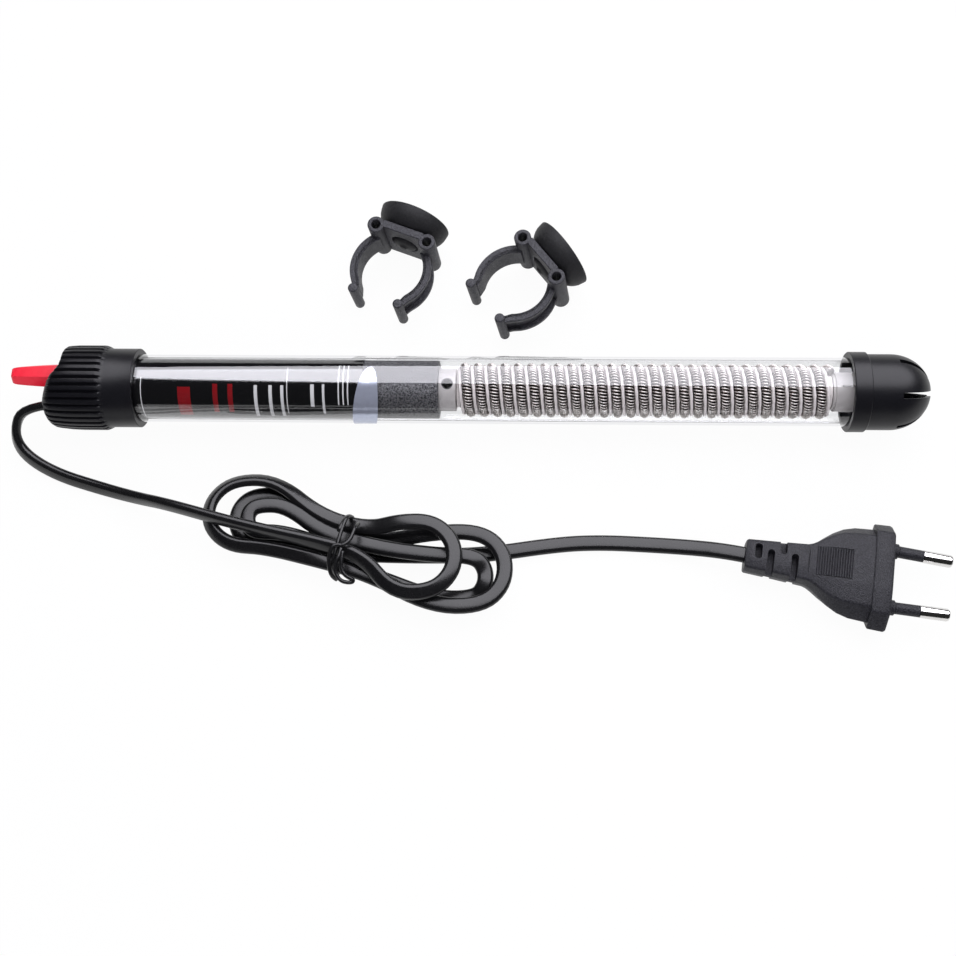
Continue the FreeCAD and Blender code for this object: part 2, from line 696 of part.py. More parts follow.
def rectangle(x, width, height):
    corners = [V(x, width / 2, -height / 2), V(x, width / 2, height / 2),
               V(x, -width / 2, height / 2), V(x, -width / 2, -height / 2)]
    return Part.makePolygon(corners + [corners[0]])


def laid_plug(shape):
    shape.rotate(V(0, 0, 0), V(0, 0, 1), PLUG_YAW)
    shape.translate(V(PLUG_FACE_X, PLUG_FACE_Y, FLOOR_Z + PLUG_FACE_HEIGHT / 2))
    return shape


# Slots of the strain relief: place along it from the neck, and from side to side
RELIEF_SLOTS = [(-15.3, -1.7, 3.3), (-11.8, -PLUG_NECK_WIDTH, 2.0), (-7.5, 0.7, PLUG_NECK_WIDTH),
                (-4.1, -PLUG_NECK_WIDTH, 2.0)]


def make_plug_body():
    narrow = 0.72
    flange = Part.makeLoft([
        hexagon(-PLUG_FLANGE, PLUG_FACE_WIDTH - 0.8, PLUG_FACE_HEIGHT - 0.4, PLUG_FACE_WIDTH * narrow),
        hexagon(-0.8, PLUG_FACE_WIDTH, PLUG_FACE_HEIGHT, PLUG_FACE_WIDTH * narrow),
        hexagon(0, PLUG_FACE_WIDTH - 1.6, PLUG_FACE_HEIGHT - 1.2, PLUG_FACE_WIDTH * narrow - 1.2)], True, True)
    spread = PLUG_BODY_WIDTH - PLUG_NECK_WIDTH
    drop = PLUG_BODY_HEIGHT - PLUG_NECK_HEIGHT
    sections = []
    for part, share in ((0.0, 1.0), (0.38, 0.97), (0.6, 0.76), (0.76, 0.46), (0.88, 0.2), (1.0, 0.0)):
        x = -PLUG_FLANGE - PLUG_BODY_LENGTH * part
        width = PLUG_NECK_WIDTH + spread * share
        height = PLUG_NECK_HEIGHT + drop * share
        sections.append(hexagon(x, width, height, width * (0.9 - 0.2 * share)))
    body = Part.makeLoft(sections, True, True)
    neck_x = -PLUG_FLANGE - PLUG_BODY_LENGTH
    tail_x = neck_x - RELIEF_LENGTH
    relief = Part.makeLoft([hexagon(neck_x, PLUG_NECK_WIDTH, PLUG_NECK_HEIGHT, PLUG_NECK_WIDTH * 0.9),
                            hexagon(tail_x, RELIEF_TAIL_WIDTH, RELIEF_TAIL_HEIGHT, RELIEF_TAIL_WIDTH * 0.86)],
                           True, True)
    plug = flange.fuse(body).fuse(relief).removeSplitter()
    side = PLUG_NECK_WIDTH
    half = RELIEF_SLOT / 2
    for x, y0, y1 in RELIEF_SLOTS:
        for z0 in (RELIEF_SLOT_DEPTH, -RELIEF_SLOT_DEPTH - side):
            plug = plug.cut(block(neck_x + x - half, neck_x + x + half, y0, y1, z0, z0 + side))
    pins = make_pin_pair()
    for pin in pins:
        plug = plug.cut(pin)
    return laid_plug(plug)


def pin_place(shape, side):
    """Lean a pin towards its neighbour and put it at its side of the face."""
    lean = math.degrees(math.atan2((PIN_SPACING - PIN_TIP_SPACING) / 2, PIN_LENGTH))
    shape.rotate(V(0, 0, 0), V(0, 0, 1), -side * lean)
    shape.translate(V(0, side * PIN_SPACING / 2, 0))
    return shape


def make_pin_pair():
    pins = []
    for side in (-1, 1):
        pin = rod(PIN_HEAD_D / 2, -PIN_ROOT, 1.5 - PIN_ROOT)
        pin = pin.fuse(rod(PIN_NECK_D / 2, 1 - PIN_ROOT, PIN_SLEEVE_LENGTH + 1))
        tip = rod(PIN_D / 2, PIN_SLEEVE_LENGTH, PIN_LENGTH)
        tip = tip.makeChamfer(0.5, [edge for edge in tip.Edges if edge.BoundBox.XMin > PIN_LENGTH - 0.1])
        pins.append(pin_place(pin.fuse(tip).removeSplitter(), side))
    return pins


def make_plug_pins():
    return laid_plug(Part.makeCompound(make_pin_pair()))


def make_pin_sleeves():
    sleeves = []
    for side in (-1, 1):
        sleeve = pipe(PIN_SLEEVE_D / 2, PIN_NECK_D / 2, PIN_SLEEVE_START, PIN_SLEEVE_LENGTH)
        sleeve = sleeve.fuse(pipe(PIN_COLLAR_D / 2, PIN_NECK_D / 2, PIN_SLEEVE_START, PIN_COLLAR_LENGTH))
        sleeves.append(pin_place(sleeve.removeSplitter(), side))
    return laid_plug(Part.makeCompound(sleeves))


# Cord: free stretches as straight runs joined by arcs, and a tied hank of three turns
HANK_LIFT = 1.3
LEVEL_STEP = 2 * CORD_TUBE_R + 0.45
LEVEL_Z = {"low": FLOOR_Z + CORD_TUBE_R + HANK_LIFT,
           "middle": FLOOR_Z + CORD_TUBE_R + HANK_LIFT + LEVEL_STEP,
           "top": FLOOR_Z + CORD_TUBE_R + HANK_LIFT + 2 * LEVEL_STEP}
WAIST_X = -46.0
WAIST_Y = -51.8
WAIST_TURN = -15.0
LANE_STEP = LEVEL_STEP + 0.05
TABLE_Z = FLOOR_Z + CORD_TUBE_R
HANK_IN = V(-94.0, -42.8, LEVEL_Z["top"])
HANK_IN_WAY = V(0.96, -0.27, 0)
HANK_OUT = V(12.0, -50.6, TABLE_Z)
HANK_OUT_WAY = V(0.985, 0.17, 0)

# Each loop end: centre X, centre Y, radius, level where the cord arrives, level where it leaves
RIGHT_ENDS = [(-21.8, -56.9, 11.6, "top", "top"), (-6.6, -59.3, 12.2, "middle", "middle"),
              (-6.9, -61.4, 6.4, "low", "middle")]
LEFT_ENDS = [(-79.0, -41.2, 12.7, "middle", "middle"), (-73.5, -42.0, 8.6, "low", "low"),
             (-73.0, -43.2, 4.6, "middle", "middle")]
# Each pass through the tie: lane across the waist, level
PASSES = [(-0.6, "top"), (1.5, "middle"), (-1.5, "middle"), (1.05, "low"), (-1.25, "low"), (0.4, "middle"),
          (-0.12, "low")]


def waist_station(index):
    lane, level = PASSES[index]
    across = V(-math.sin(math.radians(WAIST_TURN)), math.cos(math.radians(WAIST_TURN)), 0)
    way = V(math.cos(math.radians(WAIST_TURN)), math.sin(math.radians(WAIST_TURN)), 0)
    if index % 2 == 1:
        way = way * -1
    return V(WAIST_X, WAIST_Y, LEVEL_Z[level]) + across * (lane * LANE_STEP), way


def end_stations(end, side):
    """Three stations round a loop end, from where the cord arrives to where it leaves."""
    x, y, radius, level_in, level_out = end
    z_in = LEVEL_Z[level_in]
    z_out = LEVEL_Z[level_out]
    return [(V(x, y - side * radius, z_in), V(side, 0, 0)),
            (V(x + side * radius, y, (z_in + z_out) / 2), V(0, side, 0)),
            (V(x, y + side * radius, z_out), V(-side, 0, 0))]


def hank_stations():
    way_in = V(HANK_IN_WAY)
    way_in.normalize()
    way_out = V(HANK_OUT_WAY)
    way_out.normalize()
    stations = [(HANK_IN + way_in * 2 * CORD_TUBE_R, way_in)]
    for turn in range(len(RIGHT_ENDS)):
        stations.append(waist_station(2 * turn))
        stations += end_stations(RIGHT_ENDS[turn], 1)
        stations.append(waist_station(2 * turn + 1))
        stations += end_stations(LEFT_ENDS[turn], -1)
    stations.append(waist_station(len(PASSES) - 1))
    stations.append((V(-30.0, -53.7, LEVEL_Z["low"]), V(1, 0, 0)))
    stations.append((HANK_OUT - way_out * 2 * CORD_TUBE_R, way_out))
    return stations, way_in, way_out


def make_cord_hank():
    stations, way_in, way_out = hank_stations()
    edges = [Part.LineSegment(HANK_IN, stations[0][0]).toShape()]
    for (p0, t0), (p1, t1) in zip(stations, stations[1:]):
        edges += biarc(p0, t0, p1, t1)
    edges.append(Part.LineSegment(stations[-1][0], HANK_OUT).toShape())
    samples = []
    for edge in edges:
        samples += edge.discretize(9)[:-1]
    radii = [edge.Curve.Radius for edge in edges if hasattr(edge.Curve, "Radius")]
    print("hank self gap", round(self_gap(samples, 2 * CORD_TUBE_R, 5 * CORD_TUBE_R), 2),
          "least radius", round(min(radii), 1))
    length = sum(edge.Length for edge in edges)
    tube = swept(edges, CORD_TUBE_R, HANK_IN, way_in)
    print("hank length", round(length, 1), "volume ratio",
          round(tube.Volume / (length * math.pi * CORD_TUBE_R ** 2), 4))
    return tube


LEAD_POINTS = [V(CORD_GRIP_X, CORD_EXIT_Y, 0), V(-154.4, -6.4, -0.5), V(-159.6, -12.8, -6.2),
               V(-157.0, -19.0, TABLE_Z + 0.2), V(-145.1, -26.2, TABLE_Z), V(-129.0, -31.2, TABLE_Z + 0.1),
               V(-115.5, -35.4, -9.4), V(-104.0, -39.4, -3.6), HANK_IN]
TAIL_POINTS = [HANK_OUT, V(23.0, -48.8, TABLE_Z + 0.05), V(37.0, -47.6, TABLE_Z), V(52.5, -47.6, TABLE_Z + 0.1),
               V(65.5, -49.3, TABLE_Z + 1.1)]
PLUG_LEAD_OUT = 6.0


def cord_stretch(points, name):
    """A plain tube along straight runs, each corner rounded as far as its two runs allow."""
    edges = []
    radii = []
    last = points[0]
    for before, corner, after in zip(points, points[1:], points[2:]):
        way_in = corner - before
        way_out = after - corner
        leg = 0.45 * min(way_in.Length, way_out.Length)
        way_in.normalize()
        way_out.normalize()
        turn = way_in.getAngle(way_out)
        radii.append(leg / math.tan(turn / 2))
        start = corner - way_in * leg
        end = corner + way_out * leg
        edges.append(Part.LineSegment(last, start).toShape())
        edges.append(arc_in_corner(start, corner, end))
        last = end
    edges.append(Part.LineSegment(last, points[-1]).toShape())
    length = sum(edge.Length for edge in edges)
    tube = swept(edges, CORD_TUBE_R, points[0], points[1] - points[0])
    print(name, "length", round(length, 1), "volume ratio",
          round(tube.Volume / (length * math.pi * CORD_TUBE_R ** 2), 4),
          "radii", [round(radius, 1) for radius in radii])
    return tube


def plug_point(x, y, z):
    turn = math.radians(PLUG_YAW)
    return V(PLUG_FACE_X + x * math.cos(turn) - y * math.sin(turn),
             PLUG_FACE_Y + x * math.sin(turn) + y * math.cos(turn),
             FLOOR_Z + PLUG_FACE_HEIGHT / 2 + z)


def make_cord_lead():
    return cord_stretch(LEAD_POINTS, "cord_lead")


def make_cord_tail():
    tail = -PLUG_FLANGE - PLUG_BODY_LENGTH - RELIEF_LENGTH
    ends = [plug_point(tail - PLUG_LEAD_OUT, 0, -0.4), plug_point(tail, 0, 0)]
    return cord_stretch(TAIL_POINTS + ends, "cord_tail")


# Twist tie round the waist of the hank
TIE_D = 1.2
TIE_GAP = 0.1


def make_hank_tie():
    half = 1.5 * LANE_STEP + CORD_TUBE_R + TIE_GAP
    low = LEVEL_Z["low"] - CORD_TUBE_R - TIE_GAP
    high = LEVEL_Z["top"] + CORD_TUBE_R + TIE_GAP
    inner = block(-TIE_D, TIE_D, -half, half, low, high)
    inner = inner.makeFillet(CORD_TUBE_R, [edge for edge in inner.Edges if edge.BoundBox.XLength > TIE_D])
    outer = block(-TIE_D / 2, TIE_D / 2, -half - TIE_D, half + TIE_D, low - TIE_D, high + TIE_D)
    outer_edges = [edge for edge in outer.Edges if edge.BoundBox.XLength > TIE_D / 2]
    outer = outer.makeFillet(CORD_TUBE_R + TIE_D, outer_edges)
    tie = outer.cut(inner)
    tie.rotate(V(0, 0, 0), V(0, 0, 1), WAIST_TURN)
    tie.translate(V(WAIST_X, WAIST_Y, 0))
    return tie


# Holder clip: sprung ring for the glass, plate with two hollow bosses, pegs at the ends of its arms.
# It is built with the ring's axis along Z and the suction cup towards +Y, then stood on the table.
CLIP_BORE_R = GLASS_R + CLIP_BORE_GAP
CLIP_OUT_R = CLIP_BORE_R + CLIP_BAND + CLIP_RIB_OUT
PLATE_IN_Y = CLIP_BORE_R
PLATE_OUT_Y = PLATE_IN_Y + PLATE_THICK
PEG_FOOT = PEG_DROP + PEG_D / 2
CLIP_TILT = math.degrees(math.atan2(CUP_RIM_D / 2 - PEG_LENGTH / 2, PEG_FOOT + CUP_RIM_OUT))


def disc(radius, y0, y1):
    """A round plate along Y."""
    return Part.makeCylinder(radius, y1 - y0, V(0, y0, 0), V(0, 1, 0))


def upright(radius, height, x, y):
    """A round post centred on the clip's middle plane."""
    return Part.makeCylinder(radius, height, V(x, y, -height / 2), V(0, 0, 1))


def wedge(reach, spread, z0, z1):
    """A wedge from the ring's axis along Y as far as reach, where it is 2 * spread wide."""
    face = Part.Face(Part.makePolygon([V(0, 0, z0), V(-spread, reach, z0), V(spread, reach, z0), V(0, 0, z0)]))
    return face.extrude(V(0, 0, z1 - z0))


def ring_sector(outer, inner, z0, z1):
    """The two arms' share of a ring, open towards -Y and between the bosses."""
    ring = Part.makeCylinder(outer, z1 - z0, V(0, 0, z0)).cut(
        Part.makeCylinder(inner, z1 - z0 + 2, V(0, 0, z0 - 1)))
    far = 3 * outer
    mouth = wedge(-far, far * math.tan(math.radians(CLIP_MOUTH_HALF)), z0 - 1, z1 + 1)
    return ring.cut(mouth).cut(wedge(far, far * BOSS_SIDE / BOSS_OUT, z0 - 1, z1 + 1))


def make_clip():
    half = CLIP_ARM_WIDTH / 2
    clip = ring_sector(CLIP_BORE_R + CLIP_BAND, CLIP_BORE_R, -half, half)
    for z0 in (-half, half - CLIP_RIB_THICK):
        clip = clip.fuse(ring_sector(CLIP_OUT_R, CLIP_BORE_R, z0, z0 + CLIP_RIB_THICK))
    plate = block(-BOSS_SIDE, BOSS_SIDE, PLATE_IN_Y, PLATE_OUT_Y, -BOSS_LENGTH / 2, BOSS_LENGTH / 2)
    clip = clip.fuse(plate)
    for side in (-1, 1):
        clip = clip.fuse(upright(BOSS_D / 2, BOSS_LENGTH, side * BOSS_SIDE, BOSS_OUT))
        clip = clip.fuse(upright(PEG_D / 2, PEG_LENGTH, side * PEG_SIDE, -PEG_DROP))
    clip = clip.cut(Part.makeCylinder(CLIP_BORE_R, 2 * BOSS_LENGTH, V(0, 0, -BOSS_LENGTH)))
    for side in (-1, 1):
        clip = clip.cut(upright(BOSS_BORE_D / 2, 2 * BOSS_LENGTH, side * BOSS_SIDE, BOSS_OUT))
    head_depth = CUP_HEAD_THICK + 2 * CUP_FACE_GAP
    clip = clip.cut(disc(CUP_HEAD_D / 2 + LOOSE, 0, PLATE_IN_Y + head_depth))
    clip = clip.cut(disc(CUP_NECK_D / 2 + CUP_SWIVEL_GAP, 0, PLATE_OUT_Y + 1))
    return clip.removeSplitter()


def make_suction_cup():
    head_y = PLATE_IN_Y + CUP_FACE_GAP
    root_y = BOSS_OUT + BOSS_D / 2 + CUP_FACE_GAP
    rim_r = CUP_RIM_D / 2
    root_r = CUP_ROOT_D / 2
    hollow_y = root_y + CUP_WALL
    hollow_r = CUP_HOLLOW_D / 2
    edges = outline(V(0, head_y, 0), [
        V(CUP_HEAD_D / 2, head_y, 0),
        V(CUP_HEAD_D / 2, head_y + CUP_HEAD_THICK, 0),
        V(CUP_NECK_D / 2, head_y + CUP_HEAD_THICK, 0),
        V(CUP_NECK_D / 2, root_y, 0),
        V(root_r, root_y, 0),
        (V((root_r + rim_r) / 2 + 0.6, (root_y + CUP_RIM_OUT) / 2 - 0.95, 0),
         V(rim_r - CUP_LEAN, CUP_RIM_OUT - CUP_LIP, 0)),
        V(rim_r, CUP_RIM_OUT, 0),
        V(rim_r - CUP_LIP, CUP_RIM_OUT, 0),
        (V((hollow_r + rim_r) / 2 + 0.5, (hollow_y + CUP_RIM_OUT) / 2 - 0.8, 0), V(hollow_r, hollow_y, 0)),
        V(0, hollow_y, 0),
        V(0, head_y, 0)])
    face = Part.Face(Part.Wire(edges))
    return face.revolve(V(0, 0, 0), V(0, 1, 0), 360)


def stood_clip(shape, place):
    """Tilt a clip back onto its pegs and its cup's rim, turn it and put it in its place."""
    x, y, turn = place
    tilt = math.radians(CLIP_TILT)
    lift = PEG_FOOT * math.sin(tilt) + PEG_LENGTH / 2 * math.cos(tilt)
    shape.rotate(V(0, 0, 0), V(1, 0, 0), CLIP_TILT)
    shape.rotate(V(0, 0, 0), V(0, 0, 1), turn)
    shape.translate(V(x, y, FLOOR_Z + lift))
    return shape


PIECES = {
    "glass_tube": make_glass_tube,
    "head_cap": make_head_cap,
    "glass_stopper": make_glass_stopper,
    "knob": make_knob,
    "knob_spindle": make_knob_spindle,
    "spindle_seal": make_spindle_seal,
    "cord_grip": make_cord_grip,
    "label_sleeve": make_label_sleeve,
    "thermostat_shield": make_thermostat_shield,
    "seal_sticker": make_sticker,
    "thermostat_frame": make_thermostat_frame,
    "setting_screw": make_setting_screw,
    "setting_bracket": make_setting_bracket,
    "contact_leaf": make_contact_leaf,
    "contact_points": make_contacts,
    "bimetal_strip": make_bimetal_strip,
    "bimetal_post": make_bimetal_post,
    "contact_magnet": make_magnet,
    "supply_leads": make_supply_leads,
    "terminals": make_terminals,
    "indicator_lamp": make_indicator_lamp,
    "lamp_resistor": make_lamp_resistor,
    "capacitor": make_capacitor,
    "core_mount": make_core_mount,
    "core_rivet": make_core_rivet,
    "ceramic_core": make_ceramic_core,
    "return_wire": make_return_wire,
    "heating_coil": make_heating_coil,
    "core_end_block": make_core_end_block,
    "end_guard": make_end_guard,
    "plug_body": make_plug_body,
    "plug_pins": make_plug_pins,
    "pin_sleeves": make_pin_sleeves,
    "cord_lead": make_cord_lead,
    "cord_hank": make_cord_hank,
    "cord_tail": make_cord_tail,
    "hank_tie": make_hank_tie,
}

for node, make in PIECES.items():
    save(make(), node)
for letter, place in CLIP_PLACES.items():
    save(stood_clip(make_clip(), place), "clip_" + letter)
    save(stood_clip(make_suction_cup(), place), "suction_cup_" + letter)
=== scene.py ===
import math
import bmesh
import bpy
from mathutils import Matrix, Quaternion, Vector


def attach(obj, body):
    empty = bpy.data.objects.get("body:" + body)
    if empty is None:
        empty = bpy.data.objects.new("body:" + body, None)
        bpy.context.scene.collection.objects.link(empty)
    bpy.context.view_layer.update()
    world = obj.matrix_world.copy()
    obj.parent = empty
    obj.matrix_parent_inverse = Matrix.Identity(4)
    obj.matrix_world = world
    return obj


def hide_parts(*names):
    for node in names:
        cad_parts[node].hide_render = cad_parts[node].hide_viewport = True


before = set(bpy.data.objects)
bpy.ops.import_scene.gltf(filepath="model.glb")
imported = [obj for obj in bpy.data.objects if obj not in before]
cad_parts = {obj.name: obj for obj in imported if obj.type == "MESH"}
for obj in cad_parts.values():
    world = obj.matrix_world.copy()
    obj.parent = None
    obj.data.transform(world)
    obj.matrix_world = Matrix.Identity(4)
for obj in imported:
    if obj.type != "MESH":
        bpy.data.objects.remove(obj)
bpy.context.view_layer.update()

# Glass tube: a long test tube of clear heat-proof glass with a round closed end, drawn from
# tubing of 22.4 mm with a 1 mm wall. The cap grips its open end, the guard its closed end.
MM = 0.001
GLASS_R = 11.2
GLASS_BORE_R = 10.2
GLASS_OPEN_X = -131.0
GLASS_TIP_X = 131.0
SHARP_TURN = 35.0
GLASS_INDEX = 1.47
GLOSS_GAIN = 1.9
EDGE_FROM = 0.55
EDGE_SPAN = 0.3
EDGE_SHADE = 0.4


class Value:
    """A node's socket that can be used in sums; numbers alone stay in Python."""

    def __init__(self, owner, socket):
        self.owner = owner
        self.socket = socket

    def work(self, operation, *parts):
        return self.owner.node("ShaderNodeMath", {"operation": operation}, dict(enumerate(parts)))

    def __add__(self, other):
        return self.work("ADD", self, other)

    def __radd__(self, other):
        return self.work("ADD", other, self)

    def __sub__(self, other):
        return self.work("SUBTRACT", self, other)

    def __rsub__(self, other):
        return self.work("SUBTRACT", other, self)

    def __mul__(self, other):
        return self.work("MULTIPLY", self, other)

    def __rmul__(self, other):
        return self.work("MULTIPLY", other, self)

    def __truediv__(self, other):
        return self.work("DIVIDE", self, other)

    def __rtruediv__(self, other):
        return self.work("DIVIDE", other, self)

    def __lt__(self, other):
        return self.work("LESS_THAN", self, other)

    def __gt__(self, other):
        return self.work("GREATER_THAN", self, other)

    def apart(self, other):
        """How far this value is from another one."""
        return self.work("ABSOLUTE", self - other)

    def held(self):
        """This value held between 0 and 1."""
        return self.owner.node("ShaderNodeClamp", {}, {"Value": self})

    def sine(self):
        return self.work("SINE", self)

    def cosine(self):
        return self.work("COSINE", self)


class Nodes:
    """A node tree, and the one way in which nodes are added to it."""

    def __init__(self, tree):
        self.tree = tree

    def node(self, kind, settings=None, inputs=None, output=0):
        """A node with its settings made first, then the values or links of its sockets."""
        made = self.tree.nodes.new(kind)
        for key, value in (settings or {}).items():
            setattr(made, key, value)
        for key, value in (inputs or {}).items():
            self.put(made.inputs[key], value)
        return Value(self, made.outputs[output])

    def put(self, socket, value):
        if isinstance(value, Value):
            self.tree.links.new(value.socket, socket)
        else:
            socket.default_value = value


class Finish(Nodes):
    """One surface finish: a material with its main shader."""

    def __init__(self, name, **sockets):
        self.material = bpy.data.materials.new(name)
        self.material.use_nodes = True
        super().__init__(self.material.node_tree)
        self.shader = self.tree.nodes["Principled BSDF"]
        self.set(**sockets)

    def set(self, **sockets):
        """Sockets of the main shader, by name with underscores."""
        for key, value in sockets.items():
            self.put(self.shader.inputs[key.replace("_", " ")], value)

    def axes(self):
        """X, Y and Z of the place on the piece, in millimetres."""
        place = self.node("ShaderNodeTexCoord", output="Object")
        large = self.node("ShaderNodeVectorMath", {"operation": "SCALE"},
                          {0: place, "Scale": 1 / MM})
        split = self.node("ShaderNodeSeparateXYZ", {}, {0: large}).socket.node
        return [Value(self, split.outputs[index]) for index in range(3)]

    def grain(self, size, detail=3.0, rough=0.55):
        """Soft noise whose blobs are about size millimetres across."""
        place = self.node("ShaderNodeTexCoord", output="Object")
        return self.node("ShaderNodeTexNoise", {}, {
            "Vector": place, "Scale": 1 / (size * MM), "Detail": detail, "Roughness": rough})

    def blend(self, share, first, second):
        """A colour between two, by a share from 0 to 1."""
        return self.node("ShaderNodeMix", {"data_type": "RGBA"},
                         {0: share, 6: first, 7: second}, 2)

    def mottled(self, grain, dark, light, relief=None, contrast=None):
        """Two shades by one grain, which may be sharpened and may also give a relief."""
        share = self.grain(*grain)
        if contrast:
            share = ((share - contrast[0]) / contrast[1]).held()
        self.set(Base_Color=self.blend(share, (*dark, 1), (*light, 1)))
        if relief:
            self.relief(share, *relief)

    def relief(self, height, depth, strength=1.0):
        """A bump of the given depth in millimetres."""
        bump = self.node("ShaderNodeBump", {}, {
            "Height": height, "Distance": depth * MM, "Strength": strength})
        self.set(Normal=bump)

    def layers(self, share, under, over):
        """Two shaders, by a share from 0, all under, to 1, all over."""
        return self.node("ShaderNodeMixShader", {}, {0: share, 1: under, 2: over})

    def surface(self, shader):
        self.put(self.tree.nodes["Material Output"].inputs["Surface"], shader)


def skin(rings, loop=False):
    """Points and faces of a surface through rings of points; a ring of one point is a pole."""
    points = [point for ring in rings for point in ring]
    starts = []
    total = 0
    for ring in rings:
        starts.append(total)
        total += len(ring)
    order = list(range(len(rings)))
    pairs = list(zip(order, order[1:])) + ([(order[-1], 0)] if loop else [])
    faces = []
    for a, b in pairs:
        count = max(len(rings[a]), len(rings[b]))
        for i in range(count):
            j = (i + 1) % count
            if len(rings[a]) == 1:
                faces.append((starts[a], starts[b] + j, starts[b] + i))
            elif len(rings[b]) == 1:
                faces.append((starts[a] + i, starts[a] + j, starts[b]))
            else:
                faces.append((starts[a] + i, starts[a] + j, starts[b] + j, starts[b] + i))
    return points, faces


def lathe(profile, sides=96, y=0.0, z=0.0, loop=False):
    """A surface turned about a line along X; the profile gives X and radius."""
    rings = []
    for x, radius in profile:
        if radius < 1e-6:
            rings.append([(x, y, z)])
        else:
            turns = [2 * math.pi * index / sides for index in range(sides)]
            rings.append([(x, y + radius * math.cos(turn), z + radius * math.sin(turn))
                          for turn in turns])
    return skin(rings, loop)


def drawn(name, shape):
    """A mesh in metres from points in millimetres and faces."""
    mesh = bpy.data.meshes.new(name)
    mesh.from_pydata([Vector(point) * MM for point in shape[0]], [], shape[1])
    return mesh


def cleaned(mesh):
    """Merge a mesh's doubles, then point its faces outwards."""
    work = bmesh.new()
    work.from_mesh(mesh)
    bmesh.ops.remove_doubles(work, verts=work.verts, dist=1e-7)
    bmesh.ops.recalc_face_normals(work, faces=work.faces)
    work.to_mesh(mesh)
    work.free()
    return mesh


def piece(name, shape, finish, body="heater", sharp=SHARP_TURN, place=None):
    """A finished piece, from a mesh or from points and faces, riding on its body."""
    mesh = shape if isinstance(shape, bpy.types.Mesh) else drawn(name, shape)
    mesh.name = name
    if place is not None:
        mesh.transform(place)
    cleaned(mesh)
    mesh.shade_smooth()
    mesh.set_sharp_from_angle(angle=math.radians(sharp))
    mesh.materials.clear()
    mesh.materials.append(finish.material)
    obj = bpy.data.objects.new(name, mesh)
    bpy.context.scene.collection.objects.link(obj)
    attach(obj, body)
    return obj


def quarter(x, radius, size_x, size_r, first, last, steps=8):
    """Profile points on a quarter round about a centre, from one angle to another."""
    places = []
    for index in range(steps + 1):
        turn = math.radians(first + (last - first) * index / steps)
        places.append((x + size_x * math.cos(turn), max(radius + size_r * math.sin(turn), 0.0)))
    return places


clear_glass = Finish("clear_glass", Base_Color=(0.97, 0.97, 0.98, 1), Metallic=1.0,
                     Roughness=0.02)
front = 1 - clear_glass.node("ShaderNodeNewGeometry", output="Backfacing")
fresnel = clear_glass.node("ShaderNodeFresnel", {}, {"IOR": GLASS_INDEX})
gloss = (fresnel * GLOSS_GAIN * front).held()
# Towards the tube's outline the see-through colour turns grey: painted shade standing in for the
# refraction that darkens a glass tube's edges.
facing = clear_glass.node("ShaderNodeLayerWeight", {}, {"Blend": 0.5}, "Facing")
edge = ((facing - EDGE_FROM) / EDGE_SPAN).held() * EDGE_SHADE
clear = clear_glass.node("ShaderNodeBsdfTransparent", {}, {"Color": (0.985, 0.987, 0.99, 1)})
edge_shade_filter = clear_glass.node("ShaderNodeBsdfTransparent", {}, {"Color": (0.62, 0.61, 0.64, 1)})
mirror = Value(clear_glass, clear_glass.shader.outputs[0])
edge_shaded = clear_glass.layers(edge, clear, edge_shade_filter)
clear_glass.surface(clear_glass.layers(gloss, edge_shaded, mirror))

glass_dome_x = GLASS_TIP_X - GLASS_R
glass_profile = ([(GLASS_OPEN_X, GLASS_BORE_R), (GLASS_OPEN_X, GLASS_R)]
                 + quarter(glass_dome_x, 0, GLASS_R, GLASS_R, 90, 0, 16)
                 + quarter(glass_dome_x, 0, GLASS_BORE_R, GLASS_BORE_R, 0, 90, 16))
glass_tube = piece("blown_glass_tube", lathe(glass_profile, 128, loop=True), clear_glass)
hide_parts("glass_tube")

# Label sleeve: a black printed film rolled up inside the glass, over the thermostat. Plain thin
# lines and bars stand where such a sleeve carries its print.
SLEEVE_R = 9.9
SLEEVE_WALL = 0.3
SLEEVE_START_X = -121.5
SLEEVE_END_X = -41.0
WHITE_BARS = [(-113.0, 0.3, 93, 182), (-75.5, 1.1, 108, 178), (-70.7, 1.1, 108, 178),
              (-66.9, 1.0, 108, 178), (-65.3, 0.3, 72, 168), (-57.1, 1.2, 106, 150),
              (-53.5, 0.8, 106, 168), (-48.6, 0.42, 64, 146), (-47.1, 0.42, 64, 146),
              (-45.6, 0.42, 64, 146)]
RED_BARS = [(-98.9, 4.2, 112, 176), (-88.7, 1.6, 106, 165), (-83.8, 1.6, 106, 165)]

printed_film = Finish("printed_film", Roughness=0.12, Coat_Weight=1.0, Coat_Roughness=0.05,
                      Coat_IOR=1.6)
film_x, film_y, film_z = printed_film.axes()
film_turn = film_z.work("ARCTAN2", film_z, film_y) * (180 / math.pi)
film_turn = film_turn + (film_turn < 0) * 360


def printed(bars):
    """1 on bars given by their place and width along X, and two turns in degrees."""
    ink = 0.0
    for centre, width, low, high in bars:
        inside = film_x.apart(centre) < width / 2
        ink = ink + inside * (film_turn.apart((low + high) / 2) < (high - low) / 2)
    return ink


film_black = (0.004, 0.004, 0.005, 1)
film_colour = printed_film.blend(printed(WHITE_BARS), film_black, (0.72, 0.72, 0.72, 1))
film_colour = printed_film.blend(printed(RED_BARS), film_colour, (0.24, 0.006, 0.01, 1))
printed_film.set(Base_Color=film_colour)
printed_film.relief(printed_film.grain(7.0, 1.0), 0.06, 0.35)
sleeve_profile = [(SLEEVE_START_X, SLEEVE_R), (SLEEVE_END_X, SLEEVE_R),
                  (SLEEVE_END_X, SLEEVE_R - SLEEVE_WALL),
                  (SLEEVE_START_X, SLEEVE_R - SLEEVE_WALL)]
label_film = piece("label_film", lathe(sleeve_profile, 96, loop=True), printed_film)
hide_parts("label_sleeve")

